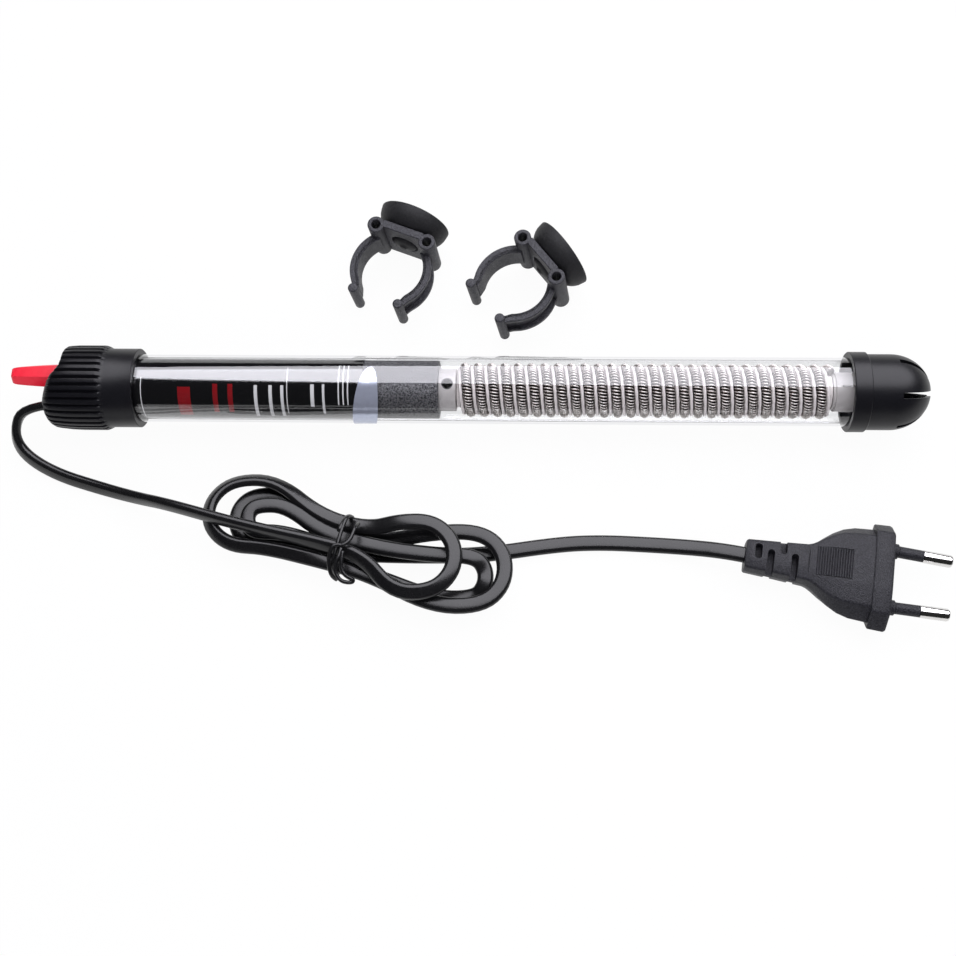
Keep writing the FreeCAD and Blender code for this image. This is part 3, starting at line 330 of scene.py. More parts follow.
# Thermostat can: a drawn sheet-metal can, dulled dark grey, that keeps the coil's heat off the
# thermostat. The ceramic neck of the heating core comes out of its end.
CAN_R = 9.5
CAN_WALL = 0.4
CAN_ROUND = 0.5
CAN_START_X = -45.2
CAN_END_X = -16.5
CAN_HOLE_R = 7.1

dull_can = Finish("dull_can", Metallic=0.5, Roughness=0.42)
dull_can.mottled((0.55, 3.0, 0.8), (0.015, 0.015, 0.018), (0.2, 0.2, 0.21),
                 (0.12, 0.7), contrast=(0.38, 0.24))
can_profile = ([(CAN_START_X, CAN_R - CAN_WALL), (CAN_START_X, CAN_R)]
               + quarter(CAN_END_X - CAN_ROUND, CAN_R - CAN_ROUND, CAN_ROUND, CAN_ROUND, 90, 0, 3)
               + [(CAN_END_X, CAN_HOLE_R), (CAN_END_X - CAN_WALL, CAN_HOLE_R),
                  (CAN_END_X - CAN_WALL, CAN_R - CAN_WALL)])
can = piece("drawn_can", lathe(can_profile, 96, loop=True), dull_can)
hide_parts("thermostat_shield")

# Inner pieces on the thermostat's frame and on the core: CAD nodes that keep their shape. Each
# gets the finish of its own stuff: mica board, rolled steel, brass, ceramic, rubber or coating.
mica = Finish("mica_board", Roughness=0.75)
mica.mottled((0.9, 6.0, 0.7), (0.52, 0.46, 0.33), (0.78, 0.73, 0.6), (0.05, 0.6))

rolled_steel = Finish("rolled_steel", Metallic=1.0, Roughness=0.32)
rolled_steel.mottled((0.5, 3.0, 0.5), (0.42, 0.41, 0.4), (0.62, 0.61, 0.6))

turned_brass = Finish("turned_brass", Metallic=1.0, Roughness=0.28)
turned_brass.mottled((0.8, 3.0, 0.6), (0.58, 0.4, 0.14), (0.78, 0.6, 0.28))

fired_ceramic = Finish("fired_ceramic", Roughness=0.6)
fired_ceramic.mottled((1.6, 6.0, 0.65), (0.66, 0.63, 0.61), (0.84, 0.81, 0.79), (0.08, 0.5))

grey_ceramic = Finish("grey_ceramic", Roughness=0.45)
grey_ceramic.mottled((1.6, 6.0, 0.65), (0.4, 0.38, 0.37), (0.52, 0.5, 0.49))

soft_rubber = Finish("soft_rubber", Roughness=0.55, Specular_IOR_Level=0.22)
soft_rubber.mottled((0.7, 5.0, 0.7), (0.004, 0.004, 0.005), (0.03, 0.03, 0.032), (0.14, 0.9))

magnet_black = Finish("magnet_black", Metallic=0.4, Roughness=0.55)
magnet_black.mottled((0.4, 4.0, 0.6), (0.03, 0.03, 0.035), (0.1, 0.1, 0.11))

brown_coating = Finish("brown_coating", Roughness=0.5)
brown_coating.mottled((1.0, 3.0, 0.5), (0.1, 0.035, 0.015), (0.2, 0.08, 0.035))

amber_lamp = Finish("amber_lamp", Roughness=0.15, Coat_Weight=0.6)
amber_lamp.mottled((2.0, 2.0, 0.5), (0.7, 0.18, 0.02), (0.95, 0.4, 0.08))

INNER_FINISHES = {
    "thermostat_frame": mica, "bimetal_post": mica,
    "setting_bracket": rolled_steel, "contact_leaf": rolled_steel,
    "bimetal_strip": rolled_steel, "contact_points": rolled_steel, "return_wire": rolled_steel,
    "knob_spindle": turned_brass, "setting_screw": turned_brass, "terminals": turned_brass,
    "glass_stopper": soft_rubber, "spindle_seal": soft_rubber, "cord_grip": soft_rubber,
    "contact_magnet": magnet_black, "supply_leads": brown_coating, "capacitor": brown_coating,
    "lamp_resistor": fired_ceramic, "core_end_block": grey_ceramic,
    "indicator_lamp": amber_lamp,
}
for node, finish in INNER_FINISHES.items():
    inner_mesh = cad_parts[node].data
    inner_mesh.materials.clear()
    inner_mesh.materials.append(finish.material)

# Core neck: the ceramic neck that carries the core, with a tongue on the thermostat's frame. A
# blackened eyelet stands in its cross hole and holds the two together.
NECK_R = 7.0
NECK_START_X = -16.9
NECK_END_X = -10.9
NECK_ROUND = 0.4
TONGUE = ((-25.5, -5.4, -2.2), (NECK_START_X, 5.4, 1.3))
EYELET_X = -13.75
EYELET_Y = -0.9
EYELET_R = 1.85
EYELET_WALL = 0.2
EYELET_LOW = -6.4
EYELET_HIGH = 6.45
CROSS_HOLE_R = EYELET_R + 0.05
CROSS_HOLE_REACH = 9


def plain(obj):
    """The mesh of an object with its modifiers worked in."""
    bpy.context.view_layer.update()
    made = obj.evaluated_get(bpy.context.evaluated_depsgraph_get())
    return bpy.data.meshes.new_from_object(made)


def cut_with(obj, shapes):
    """Cut closed shapes out of a piece and keep the result as its plain mesh."""
    cutters = []
    for shape in shapes:
        cutter = bpy.data.objects.new("cutter", cleaned(drawn("cutter", shape)))
        bpy.context.scene.collection.objects.link(cutter)
        cutters.append(cutter)
        change = obj.modifiers.new("cut", "BOOLEAN")
        change.operation = "DIFFERENCE"
        change.solver = "EXACT"
        change.object = cutter
    done = plain(obj)
    obj.modifiers.clear()
    obj.data = done
    for cutter in cutters:
        bpy.data.objects.remove(cutter)
    obj.data.set_sharp_from_angle(angle=math.radians(SHARP_TURN))


def brick(low, high, spin=0.0):
    """A box between two corners, turned about the X axis by some degrees."""
    turned_by = Matrix.Rotation(math.radians(spin), 3, "X")
    spans = list(zip(low, high))
    corners = [(x, y, z) for x in spans[0] for y in spans[1] for z in spans[2]]
    faces = [(0, 1, 3, 2), (4, 6, 7, 5), (0, 4, 5, 1), (2, 3, 7, 6), (0, 2, 6, 4), (1, 5, 7, 3)]
    return [tuple(turned_by @ Vector(corner)) for corner in corners], faces


def upright(profile, x, y, loop=False):
    """A surface turned about a line straight up; the profile gives height and radius."""
    points, faces = lathe(profile, 40, y, loop=loop)
    return [(x + p[2], p[1], p[0]) for p in points], faces


neck_profile = [(NECK_START_X, 0), (NECK_START_X, NECK_R)]
neck_profile += quarter(NECK_END_X - NECK_ROUND, NECK_R - NECK_ROUND, NECK_ROUND, NECK_ROUND,
                        90, 0, 3)
neck_profile.append((NECK_END_X, 0))
neck = piece("ceramic_neck", lathe(neck_profile), grey_ceramic)
cross_hole = [(-CROSS_HOLE_REACH, 0), (-CROSS_HOLE_REACH, CROSS_HOLE_R),
              (CROSS_HOLE_REACH, CROSS_HOLE_R), (CROSS_HOLE_REACH, 0)]
cut_with(neck, [upright(cross_hole, EYELET_X, EYELET_Y)])
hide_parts("core_mount")
tongue = piece("neck_tongue", brick(*TONGUE), fired_ceramic)
eyelet_profile = [(EYELET_LOW, EYELET_R - EYELET_WALL), (EYELET_LOW, EYELET_R),
                  (EYELET_HIGH, EYELET_R), (EYELET_HIGH, EYELET_R - EYELET_WALL)]
eyelet = piece("core_eyelet", upright(eyelet_profile, EYELET_X, EYELET_Y, True), magnet_black)
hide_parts("core_rivet")

# Heating core: a fired ceramic rod with a helical groove for the wire. It stands between the
# neck on the thermostat's frame and the end block by the guard.
COIL_PITCH = 4.352
COIL_TURNS = 27.4
COIL_START_X = -9.7
COIL_START_TURN = -math.pi / 2
CORE_START_X = -11.0
CORE_END_X = 110.28
CORE_STEP = 0.3
CORE_SIDES = 72
GROOVE_R = 5.7
GROOVE_HALF = 1.35
RIDGE_R = 8.15
RIDGE_FLANK = 0.4
UNSHADED_FROM_R = 6.4
UNSHADED_SPAN = 1.3
BARE_TURNS = 0.4


class Pattern(Nodes):
    """A Geometry Nodes tree with named sizes, and the plain mesh that it makes."""

    def __init__(self, name):
        super().__init__(bpy.data.node_groups.new(name, "GeometryNodeTree"))
        self.tree.interface.new_socket("Geometry", in_out="OUTPUT",
                                       socket_type="NodeSocketGeometry")
        self.source = self.tree.nodes.new("NodeGroupInput")
        self.result = self.tree.nodes.new("NodeGroupOutput")
        self.sizes = {}

    def size(self, name, value):
        """A named input: a whole number or a length in millimetres."""
        kind = "NodeSocketInt" if isinstance(value, int) else "NodeSocketFloat"
        socket = self.tree.interface.new_socket(name, in_out="INPUT", socket_type=kind)
        self.sizes[socket.identifier] = value
        return Value(self, self.source.outputs[name])

    def spot(self, x, y, z):
        """A place given in millimetres, as a vector in metres."""
        place = self.node("ShaderNodeCombineXYZ", {}, {0: x, 1: y, 2: z})
        return self.node("ShaderNodeVectorMath", {"operation": "SCALE"}, {0: place, "Scale": MM})

    def moved(self, geometry, spot):
        return self.node("GeometryNodeSetPosition", {}, {"Geometry": geometry, "Position": spot})

    def made(self, geometry, finish):
        """End the tree with realized geometry in one finish, and run it once for its mesh."""
        whole = self.node("GeometryNodeRealizeInstances", {}, {"Geometry": geometry})
        dressed = self.node("GeometryNodeSetMaterial", {},
                            {"Geometry": whole, "Material": finish.material})
        self.put(self.result.inputs[0], dressed)
        holder = bpy.data.objects.new(self.tree.name, bpy.data.meshes.new(self.tree.name))
        bpy.context.scene.collection.objects.link(holder)
        change = holder.modifiers.new("pattern", "NODES")
        change.node_group = self.tree
        for identifier, value in self.sizes.items():
            change[identifier] = value
        mesh = plain(holder)
        bpy.data.objects.remove(holder)
        return mesh


grooved_ceramic = Finish("grooved_ceramic", Roughness=0.6)
core_x, core_y, core_z = grooved_ceramic.axes()
core_r = core_x.work("SQRT", core_y * core_y + core_z * core_z)
core_grain = grooved_ceramic.grain(1.2, 6.0, 0.65)
pale = grooved_ceramic.blend(core_grain, (0.66, 0.61, 0.59, 1), (0.86, 0.82, 0.8, 1))
# Deep in the groove, along the wound stretch, the ceramic is painted dark brown: painted shade
# under the wire.
wound_end_x = COIL_START_X + COIL_PITCH * (COIL_TURNS - BARE_TURNS)
wound = (core_x > COIL_START_X) * (core_x < wound_end_x)
unshaded = (((core_r - UNSHADED_FROM_R) / UNSHADED_SPAN).held() + 1 - wound).held()
grooved_ceramic.set(Base_Color=grooved_ceramic.blend(unshaded, (0.03, 0.018, 0.014, 1), pale))
grooved_ceramic.relief(core_grain, 0.08, 0.5)

core_tree = Pattern("grooved_core")
start = core_tree.size("Start", CORE_START_X)
end = core_tree.size("End", CORE_END_X)
pitch = core_tree.size("Pitch", COIL_PITCH)
groove_r = core_tree.size("Groove Radius", GROOVE_R)
ridge_r = core_tree.size("Ridge Radius", RIDGE_R)
sheet = core_tree.node("GeometryNodeMeshGrid", {}, {
    "Size X": end - start, "Size Y": 2 * math.pi,
    "Vertices X": int((CORE_END_X - CORE_START_X) / CORE_STEP), "Vertices Y": CORE_SIDES + 1})
place = core_tree.node("GeometryNodeInputPosition")
split = core_tree.node("ShaderNodeSeparateXYZ", {}, {0: place}).socket.node
along = Value(core_tree, split.outputs[0]) + (start + end) / 2
around = Value(core_tree, split.outputs[1])
turns = (along - COIL_START_X) / pitch - (around - COIL_START_TURN) / (2 * math.pi)
off_groove = turns.apart(turns.work("ROUND", turns)) * pitch
inset = along.work("MINIMUM", along - start, end - along)
rise = ((off_groove - GROOVE_HALF) / RIDGE_FLANK).held() * inset.held()
reach = (groove_r + (ridge_r - groove_r) * rise) * (inset > 0.01)
spot = core_tree.spot(along, reach * around.cosine(), reach * around.sine())
rolled = core_tree.moved(sheet, spot)
closed = core_tree.node("GeometryNodeMergeByDistance", {}, {"Geometry": rolled, "Distance": 1e-6})
core_mesh = core_tree.made(closed, grooved_ceramic)
core = piece("grooved_core", core_mesh, grooved_ceramic, sharp=60)
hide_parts("ceramic_core")

# Heating wire: resistance wire that is first wound into a fine curl and then laid round the rod
# in its groove, for a little over twenty-seven turns.
COIL_MEAN_R = 7.4
CURL_R = 1.33
CURL_PITCH = 0.9
CURL_WIRE_R = 0.22
CURL_STEPS = 8
TURN_LENGTH = math.hypot(2 * math.pi * COIL_MEAN_R, COIL_PITCH)
CURL_COUNT = int(TURN_LENGTH * COIL_TURNS / CURL_PITCH)
SHADED_BELOW_R = 6.9
SHADED_SPAN = 1.5

hot_wire = Finish("hot_wire", Metallic=1.0, Roughness=0.42)
wire_grain = hot_wire.grain(3.0, 3.0, 0.6)
wire_x, wire_y, wire_z = hot_wire.axes()
wire_at_r = wire_x.work("SQRT", wire_y * wire_y + wire_z * wire_z)
depth = 1 - ((wire_at_r - SHADED_BELOW_R) / SHADED_SPAN).held()
wire_pale = hot_wire.blend(wire_grain, (0.6, 0.555, 0.53, 1), (0.82, 0.77, 0.74, 1))
hot_wire.set(Base_Color=hot_wire.blend(depth, wire_pale, (0.07, 0.05, 0.043, 1)))
curl_tree = Pattern("curled_heating_wire")
points = curl_tree.size("Points", CURL_COUNT * CURL_STEPS + 1)
turns = curl_tree.size("Turns", COIL_TURNS)
pitch = curl_tree.size("Pitch", COIL_PITCH)
mean_r = curl_tree.size("Mean Radius", COIL_MEAN_R)
curl_r = curl_tree.size("Curl Radius", CURL_R)
wire_r = curl_tree.size("Wire Radius", CURL_WIRE_R)
index = curl_tree.node("GeometryNodeInputIndex")
turn = index / (points - 1) * turns
curl = index * (2 * math.pi / CURL_STEPS)
angle = turn * (2 * math.pi) + COIL_START_TURN
reach = mean_r + curl_r * curl.cosine()
spot = curl_tree.spot(turn * pitch + curl_r * curl.sine() + COIL_START_X,
                      reach * angle.cosine(), reach * angle.sine())
line = curl_tree.moved(curl_tree.node("GeometryNodeMeshLine", {}, {"Count": points}), spot)
line = curl_tree.node("GeometryNodeMeshToCurve", {}, {"Mesh": line})
ring = curl_tree.node("GeometryNodeCurvePrimitiveCircle", {},
                      {"Resolution": 5, "Radius": wire_r * MM})
wire = curl_tree.node("GeometryNodeCurveToMesh", {},
                      {"Curve": line, "Profile Curve": ring, "Fill Caps": True})
coil = piece("curled_heating_wire", curl_tree.made(wire, hot_wire), hot_wire, sharp=180)
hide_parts("heating_coil")

# End guard: a moulded black cup pushed over the closed end of the glass. Three cuts across its
# dome make six slots that let the water through.
RIM_X = 115.5
RIM_R = 13.0
RIM_WIDTH = 5.5
RIM_EDGE = 0.2
GUARD_TIP_X = 142.1
GUARD_BODY_R = 12.3
GUARD_BORE_R = 11.25
GUARD_DOME = 13.0
GUARD_HOLLOW_X = 11.2
GUARD_HOLLOW = (9.7, 10.8)
GUARD_SLOT = 1.9
GUARD_SLOT_START_X = 130.6
GUARD_SLOT_TURN = 120.0
GUARD_CUT_END_X = 160
GUARD_CUT_HALF = 20

moulded_black = Finish("moulded_black", Specular_IOR_Level=0.26)
moulded_black.mottled((0.5, 5.0, 0.65), (0.002, 0.002, 0.003), (0.009, 0.009, 0.012),
                      (0.05, 0.35))
moulded_black.set(Roughness=0.3 + moulded_black.grain(9.0, 3.0) * 0.14)

guard_dome_x = GUARD_TIP_X - GUARD_DOME
guard_hollow_x = GUARD_TIP_X - GUARD_HOLLOW_X
guard_profile = ([(RIM_X, GUARD_BORE_R), (RIM_X, RIM_R - RIM_EDGE), (RIM_X + RIM_EDGE, RIM_R),
                  (RIM_X + RIM_WIDTH - RIM_EDGE, RIM_R), (RIM_X + RIM_WIDTH, RIM_R - RIM_EDGE),
                  (RIM_X + RIM_WIDTH, GUARD_BODY_R)]
                 + quarter(guard_dome_x, 0, GUARD_DOME, GUARD_BODY_R, 90, 0, 20)
                 + quarter(guard_hollow_x, 0, *GUARD_HOLLOW, 0, 90, 16)
                 + [(guard_hollow_x - RIM_EDGE, GUARD_BORE_R)])
guard = piece("moulded_guard", lathe(guard_profile, 128, loop=True), moulded_black)
cut_low = (GUARD_SLOT_START_X, -GUARD_CUT_HALF, -GUARD_SLOT / 2)
cut_high = (GUARD_CUT_END_X, GUARD_CUT_HALF, GUARD_SLOT / 2)
cut_with(guard, [brick(cut_low, cut_high, GUARD_SLOT_TURN + 60 * index) for index in range(3)])
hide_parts("end_guard")

# Head cap: moulded black plastic with fine ribs to grip, pressed over the glass's open end. Its
# end is cut back on one side, where the knob stands, and full on the other, where the cord leaves.
CAP_MOUTH_X = -115.5
CAP_WEB_X = -132.0
CAP_R = 14.0
CAP_BORE_R = 11.22
COLLAR_R = 13.0
COLLAR_EDGE = 0.2
CAP_SHOULDER = [(-124.6, COLLAR_R, 0.0), (-125.2, 13.2, 0.0), (-125.7, 13.5, 0.2),
                (-126.2, 13.75, 0.6), (-126.7, 13.93, 0.9)]
CAP_TAPER = 1.0
CAP_TAPER_X = -137.1
CAP_TAPER_LENGTH = 9.0
CAP_RIBS = 36
RIB_COLUMNS = 12
RIB_START_X = -127.3
GROOVE_DEPTH = 1.1
GROOVE_HALF_WIDTH = 0.62
RIB_END_BEND = 1.4
CAP_END = [(-15.0, -146.1), (-11.0, -145.8), (-7.7, -144.9), (-4.6, -144.1), (-3.1, -143.6),
           (-1.8, -142.9), (-0.2, -141.8), (1.1, -140.5), (2.6, -139.6), (4.5, -139.4),
           (9.0, -139.8), (15.0, -139.6)]
CAP_ROUNDS = [(-4.0, 3.5), (3.0, 1.0)]
CAP_SIDE_SHARES = (0.0, 0.25, 0.5, 0.75, 1.0)
CAP_BENDS = (15, 30, 45, 60, 75)
CAP_END_SHARES = (0.98, 0.85, 0.7, 0.55, 0.4, 0.25, 0.12)
KNOB_Y = 4.3
KNOB_HOLE_R = 4.55
KNOB_HOLE_X = -139.1
KNOB_HOLE_START_X = -170


def between(table, place):
    """A value read off a table of pairs, in a straight line between its entries."""
    for (a, u), (b, v) in zip(table, table[1:]):
        if place <= b:
            return u + (v - u) * min(max((place - a) / (b - a), 0.0), 1.0)
    return table[-1][1]


def cap_ring(place):
    """A ring of the cap; place gives X, radius and how far the ribs stand out, at an angle."""
    ring = []
    for index in range(CAP_RIBS * RIB_COLUMNS):
        angle = 2 * math.pi * index / (CAP_RIBS * RIB_COLUMNS)
        x, radius, ribbed = place(angle)
        ribs_on = index / RIB_COLUMNS
        off = (ribs_on - round(ribs_on)) * 2 * math.pi / CAP_RIBS * CAP_R
        radius -= GROOVE_DEPTH * ribbed * max(0.0, 1.0 - (off / GROOVE_HALF_WIDTH) ** 2)
        ring.append((x, radius * math.cos(angle), radius * math.sin(angle)))
    return ring


def plain_ring(x, radius, ribbed=0.0):
    """A ring of the cap that lies square across it."""
    return cap_ring(lambda angle: (x, radius, ribbed))


def side_ring(share, bend):
    """A ribbed ring between the ribs' start and the end's round, and then round that edge."""
    def place(angle):
        y = CAP_R * math.cos(angle)
        round_by = between(CAP_ROUNDS, y)
        x = between(CAP_END, y) + round_by * (1 - math.sin(bend))
        x = RIB_START_X + (x - RIB_START_X) * share
        taper = CAP_TAPER * min(max((CAP_TAPER_X - x) / CAP_TAPER_LENGTH, 0.0), 1.0)
        radius = CAP_R - taper - round_by * (1 - math.cos(bend))
        return x, radius, max(0.0, 1.0 - bend / RIB_END_BEND)
    return cap_ring(place)


def end_ring(share):
    """A ring on the cap's end face, at a share of its inner radius."""
    def place(angle):
        radius = share * (CAP_R - CAP_TAPER - between(CAP_ROUNDS, CAP_R * math.cos(angle)))
        return between(CAP_END, radius * math.cos(angle)), radius, 0.0
    return cap_ring(place)


cap_rings = [[(CAP_WEB_X, 0, 0)], plain_ring(CAP_WEB_X, CAP_BORE_R),
             plain_ring(CAP_MOUTH_X, CAP_BORE_R), plain_ring(CAP_MOUTH_X, COLLAR_R - COLLAR_EDGE),
             plain_ring(CAP_MOUTH_X - COLLAR_EDGE, COLLAR_R)]
cap_rings += [plain_ring(*ring) for ring in CAP_SHOULDER]
cap_rings += [side_ring(share, 0.0) for share in CAP_SIDE_SHARES]
cap_rings += [side_ring(1.0, math.radians(degrees)) for degrees in CAP_BENDS]
cap_rings += [end_ring(share) for share in CAP_END_SHARES]
cap_rings.append([(between(CAP_END, 0.0), 0, 0)])
cap = piece("ribbed_cap", skin(cap_rings), moulded_black)
knob_hole = [(KNOB_HOLE_START_X, 0), (KNOB_HOLE_START_X, KNOB_HOLE_R),
             (KNOB_HOLE_X, KNOB_HOLE_R), (KNOB_HOLE_X, 0)]
cut_with(cap, [lathe(knob_hole, 48, KNOB_Y)])
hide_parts("head_cap")

# Setting knob: a small red grip that tapers to its tip, with six flats for the fingers. It turns
# on the brass spindle, which is sealed where it goes through the cap.
KNOB_BASE_X = -139.4
KNOB_TIP_X = -159.4
KNOB_PROFILE = [(KNOB_BASE_X, 4.2), (-142.5, 4.25), (-146.0, 4.15), (-150.0, 3.9),
                (-154.0, 3.6), (-157.2, 3.3), (-158.5, 3.05), (-159.15, 2.6), (KNOB_TIP_X, 1.9)]
KNOB_FLATNESS = 0.9
KNOB_SIDES = 72
HALF_FLAT = math.pi / 6


def knob_ring(x, radius):
    """A six-sided ring of the knob, its sides a little bowed."""
    ring = []
    for index in range(KNOB_SIDES):
        angle = 2 * math.pi * index / KNOB_SIDES
        off = (angle + HALF_FLAT) % (2 * HALF_FLAT) - HALF_FLAT
        flat = math.cos(HALF_FLAT) / math.cos(HALF_FLAT - abs(off))
        reach = radius * (1 - KNOB_FLATNESS + KNOB_FLATNESS * flat)
        ring.append((x, KNOB_Y + reach * math.cos(angle), reach * math.sin(angle)))
    return ring


red_gloss = Finish("red_gloss", Roughness=0.34, Specular_IOR_Level=0.35, Coat_Weight=0.05,
                   Coat_Roughness=0.12)
red_gloss.mottled((2.5, 3.0, 0.5), (0.84, 0.012, 0.035), (0.97, 0.024, 0.055))
red_gloss.relief(red_gloss.grain(0.6, 4.0), 0.03, 0.25)
knob_rings = [[(KNOB_BASE_X, KNOB_Y, 0)]]
knob_rings += [knob_ring(x, radius) for x, radius in KNOB_PROFILE]
knob_rings.append([(KNOB_TIP_X, KNOB_Y, 0)])
knob = piece("red_knob", skin(knob_rings), red_gloss, "knob", 20)
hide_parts("knob")

# Sticker: an oval of silver foil on the outside of the glass, over the end of the label. It was
# put on by hand and leans a little.
STICKER_X = -40.1
STICKER_HALF_X = 4.05
STICKER_LEAN = -1.75
STICKER_HALF_TURN = 85.0
STICKER_TURN = 160.0
STICKER_OUT_R = 11.33
STICKER_IN_R = 11.22
STICKER_SHARES = [0.15, 0.3, 0.45, 0.6, 0.75, 0.9, 1.0]
STICKER_SIDES = 64

silver_foil = Finish("silver_foil", Metallic=0.6, Roughness=0.2)
silver_foil.mottled((2.2, 4.0, 0.6), (0.44, 0.48, 0.6), (0.56, 0.6, 0.72))


def sticker_ring(share, radius):
    """An oval on the glass, at a share of the sticker's size."""
    ring = []
    for index in range(STICKER_SIDES):
        angle = 2 * math.pi * index / STICKER_SIDES
        spin = math.radians(STICKER_TURN + STICKER_HALF_TURN * share * math.sin(angle))
        x = STICKER_X + share * (STICKER_HALF_X * math.cos(angle) + STICKER_LEAN * math.sin(angle))
        ring.append((x, radius * math.cos(spin), radius * math.sin(spin)))
    return ring


sticker_rings = [sticker_ring(0.0, STICKER_OUT_R)[:1]]
sticker_rings += [sticker_ring(share, STICKER_OUT_R) for share in STICKER_SHARES]
sticker_rings += [sticker_ring(share, STICKER_IN_R) for share in reversed(STICKER_SHARES)]
sticker_rings.append(sticker_ring(0.0, STICKER_IN_R)[:1])
sticker = piece("foil_oval", skin(sticker_rings), silver_foil)
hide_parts("seal_sticker")

# Plug: black plastic moulded onto the cord, with a flat wide body, a thick front flange, a ribbed
# grip, and a slotted strain relief that can bend with the cord.
FLOOR_Z = -14.0
PLUG_FACE = (125.6, -60.7, FLOOR_Z + 6.85)
PLUG_YAW = -9.0
PLUG_SECTIONS = [(-45.0, 9.6, 7.4), (-44.5, 10.4, 8.0), (-35.0, 11.6, 8.8), (-26.0, 13.0, 9.4),
                 (-24.6, 14.0, 9.6), (-23.0, 16.4, 9.9), (-21.0, 20.0, 10.4), (-18.4, 24.2, 11.1),
                 (-15.2, 28.0, 11.8), (-11.6, 30.2, 12.2), (-6.3, 31.0, 12.4), (-5.8, 31.0, 12.4),
                 (-5.8, 34.3, 13.2), (-5.5, 34.9, 13.5), (-0.8, 35.3, 13.7), (-0.2, 34.6, 13.2),
                 (0.0, 33.9, 12.7)]
PLUG_ROUND = 0.7
TOP_SHARE = 0.16
FLAT_SHARE = 0.45
FLAT_SHARE_LOST = 0.075
FLAT_HIGH_SHARE = 0.43
SHOULDER_START_X = -24.6
SHOULDER_LENGTH = 12.6
SEAM_LINE = ((-25.95, -3.4, 4.2), (-25.45, 6.4, 9.0))
RELIEF_SLOTS = [(-41.2, -1.6, 3.6), (-37.3, -12.0, 2.1), (-33.6, 1.0, 12.0), (-29.9, -12.0, 1.7)]
RELIEF_SLOT_R = 1.1
RELIEF_CORE = 0.9
GRIP_FIRST = (-22.9, 5.0)
GRIP_LAST = (-12.9, 6.02)
GRIP_SIDE = 0.75
GRIP_HALF = 4.6
GRIP_RIBS = 14
GRIP_RIB_R = 0.33
GRIP_RIB_SUNK = 0.3
POCKET_BEYOND = (0.5, 0.3)
POCKET_DEPTH = 0.35
POCKET_OVER = 2.0
CUT_HIGH = 9.0

plug_place = (Matrix.Translation(Vector(PLUG_FACE) * MM)
              @ Matrix.Rotation(math.radians(PLUG_YAW), 4, "Z"))


def plug_ring(x, width, height):
    """A flat section of ten corners, each rounded, across the plug."""
    grown = min(max((x - SHOULDER_START_X) / SHOULDER_LENGTH, 0.0), 1.0)
    flat = width * (FLAT_SHARE - FLAT_SHARE_LOST * grown)
    side = [(width / 2, 0.0), (flat, FLAT_HIGH_SHARE * height), (TOP_SHARE * width, height / 2)]
    corners = (side + [(-a, b) for a, b in reversed(side)] + [(-a, -b) for a, b in side[1:]]
               + [(a, -b) for a, b in reversed(side[1:])])
    ring = []
    for index, corner in enumerate(corners):
        before = Vector(corners[index - 1])
        here = Vector(corner)
        after = Vector(corners[(index + 1) % len(corners)])
        start = here + (before - here).normalized() * PLUG_ROUND
        end = here + (after - here).normalized() * PLUG_ROUND
        for t in (0.0, 1 / 3, 2 / 3, 1.0):
            spot = start * (1 - t) ** 2 + here * 2 * t * (1 - t) + end * t ** 2
            ring.append((x, spot.x, spot.y))
    return ring


def prism(outline, low, high):
    """An outline in X and Y, carried up from one height to another."""
    count = len(outline)
    points = [(x, y, z) for z in (low, high) for x, y in outline]
    faces = [tuple(range(count)), tuple(range(2 * count - 1, count - 1, -1))]
    faces += [(i, (i + 1) % count, count + (i + 1) % count, count + i) for i in range(count)]
    return points, faces


def slot_outline(x, low, high):
    """A slot with round ends, from side to side of the strain relief."""
    outline = []
    for centre, first in ((high - RELIEF_SLOT_R, 0), (low + RELIEF_SLOT_R, 180)):
        for degrees in range(first, first + 181, 20):
            angle = math.radians(degrees)
            outline.append((x + RELIEF_SLOT_R * math.cos(angle),
                            centre + RELIEF_SLOT_R * math.sin(angle)))
    return outline


def grip_pocket():
    """The shallow pocket of the ribbed grip; its bottom follows the slope of the plug's top."""
    half = GRIP_HALF + POCKET_BEYOND[1]
    points = []
    for (x, top), way in ((GRIP_FIRST, -1), (GRIP_LAST, 1)):
        x += way * POCKET_BEYOND[0]
        for y in (GRIP_SIDE - half, GRIP_SIDE + half):
            points += [(x, y, top - POCKET_DEPTH), (x, y, top + POCKET_OVER)]
    return points, brick((0, 0, 0), (1, 1, 1))[1]


plug_plastic = Finish("plug_plastic", Specular_IOR_Level=0.22)
plug_plastic.mottled((0.4, 4.0, 0.6), (0.006, 0.006, 0.008), (0.03, 0.03, 0.037),
                     (0.09, 0.8), contrast=(0.35, 0.3))
plug_plastic.set(Roughness=0.36 + plug_plastic.grain(6.0, 3.0) * 0.16)
plug_rings = [[(PLUG_SECTIONS[0][0], 0, 0)]] + [plug_ring(*section) for section in PLUG_SECTIONS]
plug_rings.append([(0.0, 0, 0)])
plug = piece("moulded_plug", skin(plug_rings), plug_plastic)
plug_cuts = [grip_pocket(), brick(*SEAM_LINE)]
for section in RELIEF_SLOTS:
    plug_cuts.append(prism(slot_outline(*section), RELIEF_CORE, CUT_HIGH))
    plug_cuts.append(prism(slot_outline(*section), -CUT_HIGH, -RELIEF_CORE))
cut_with(plug, plug_cuts)
plug.data.transform(plug_place)
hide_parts("plug_body")

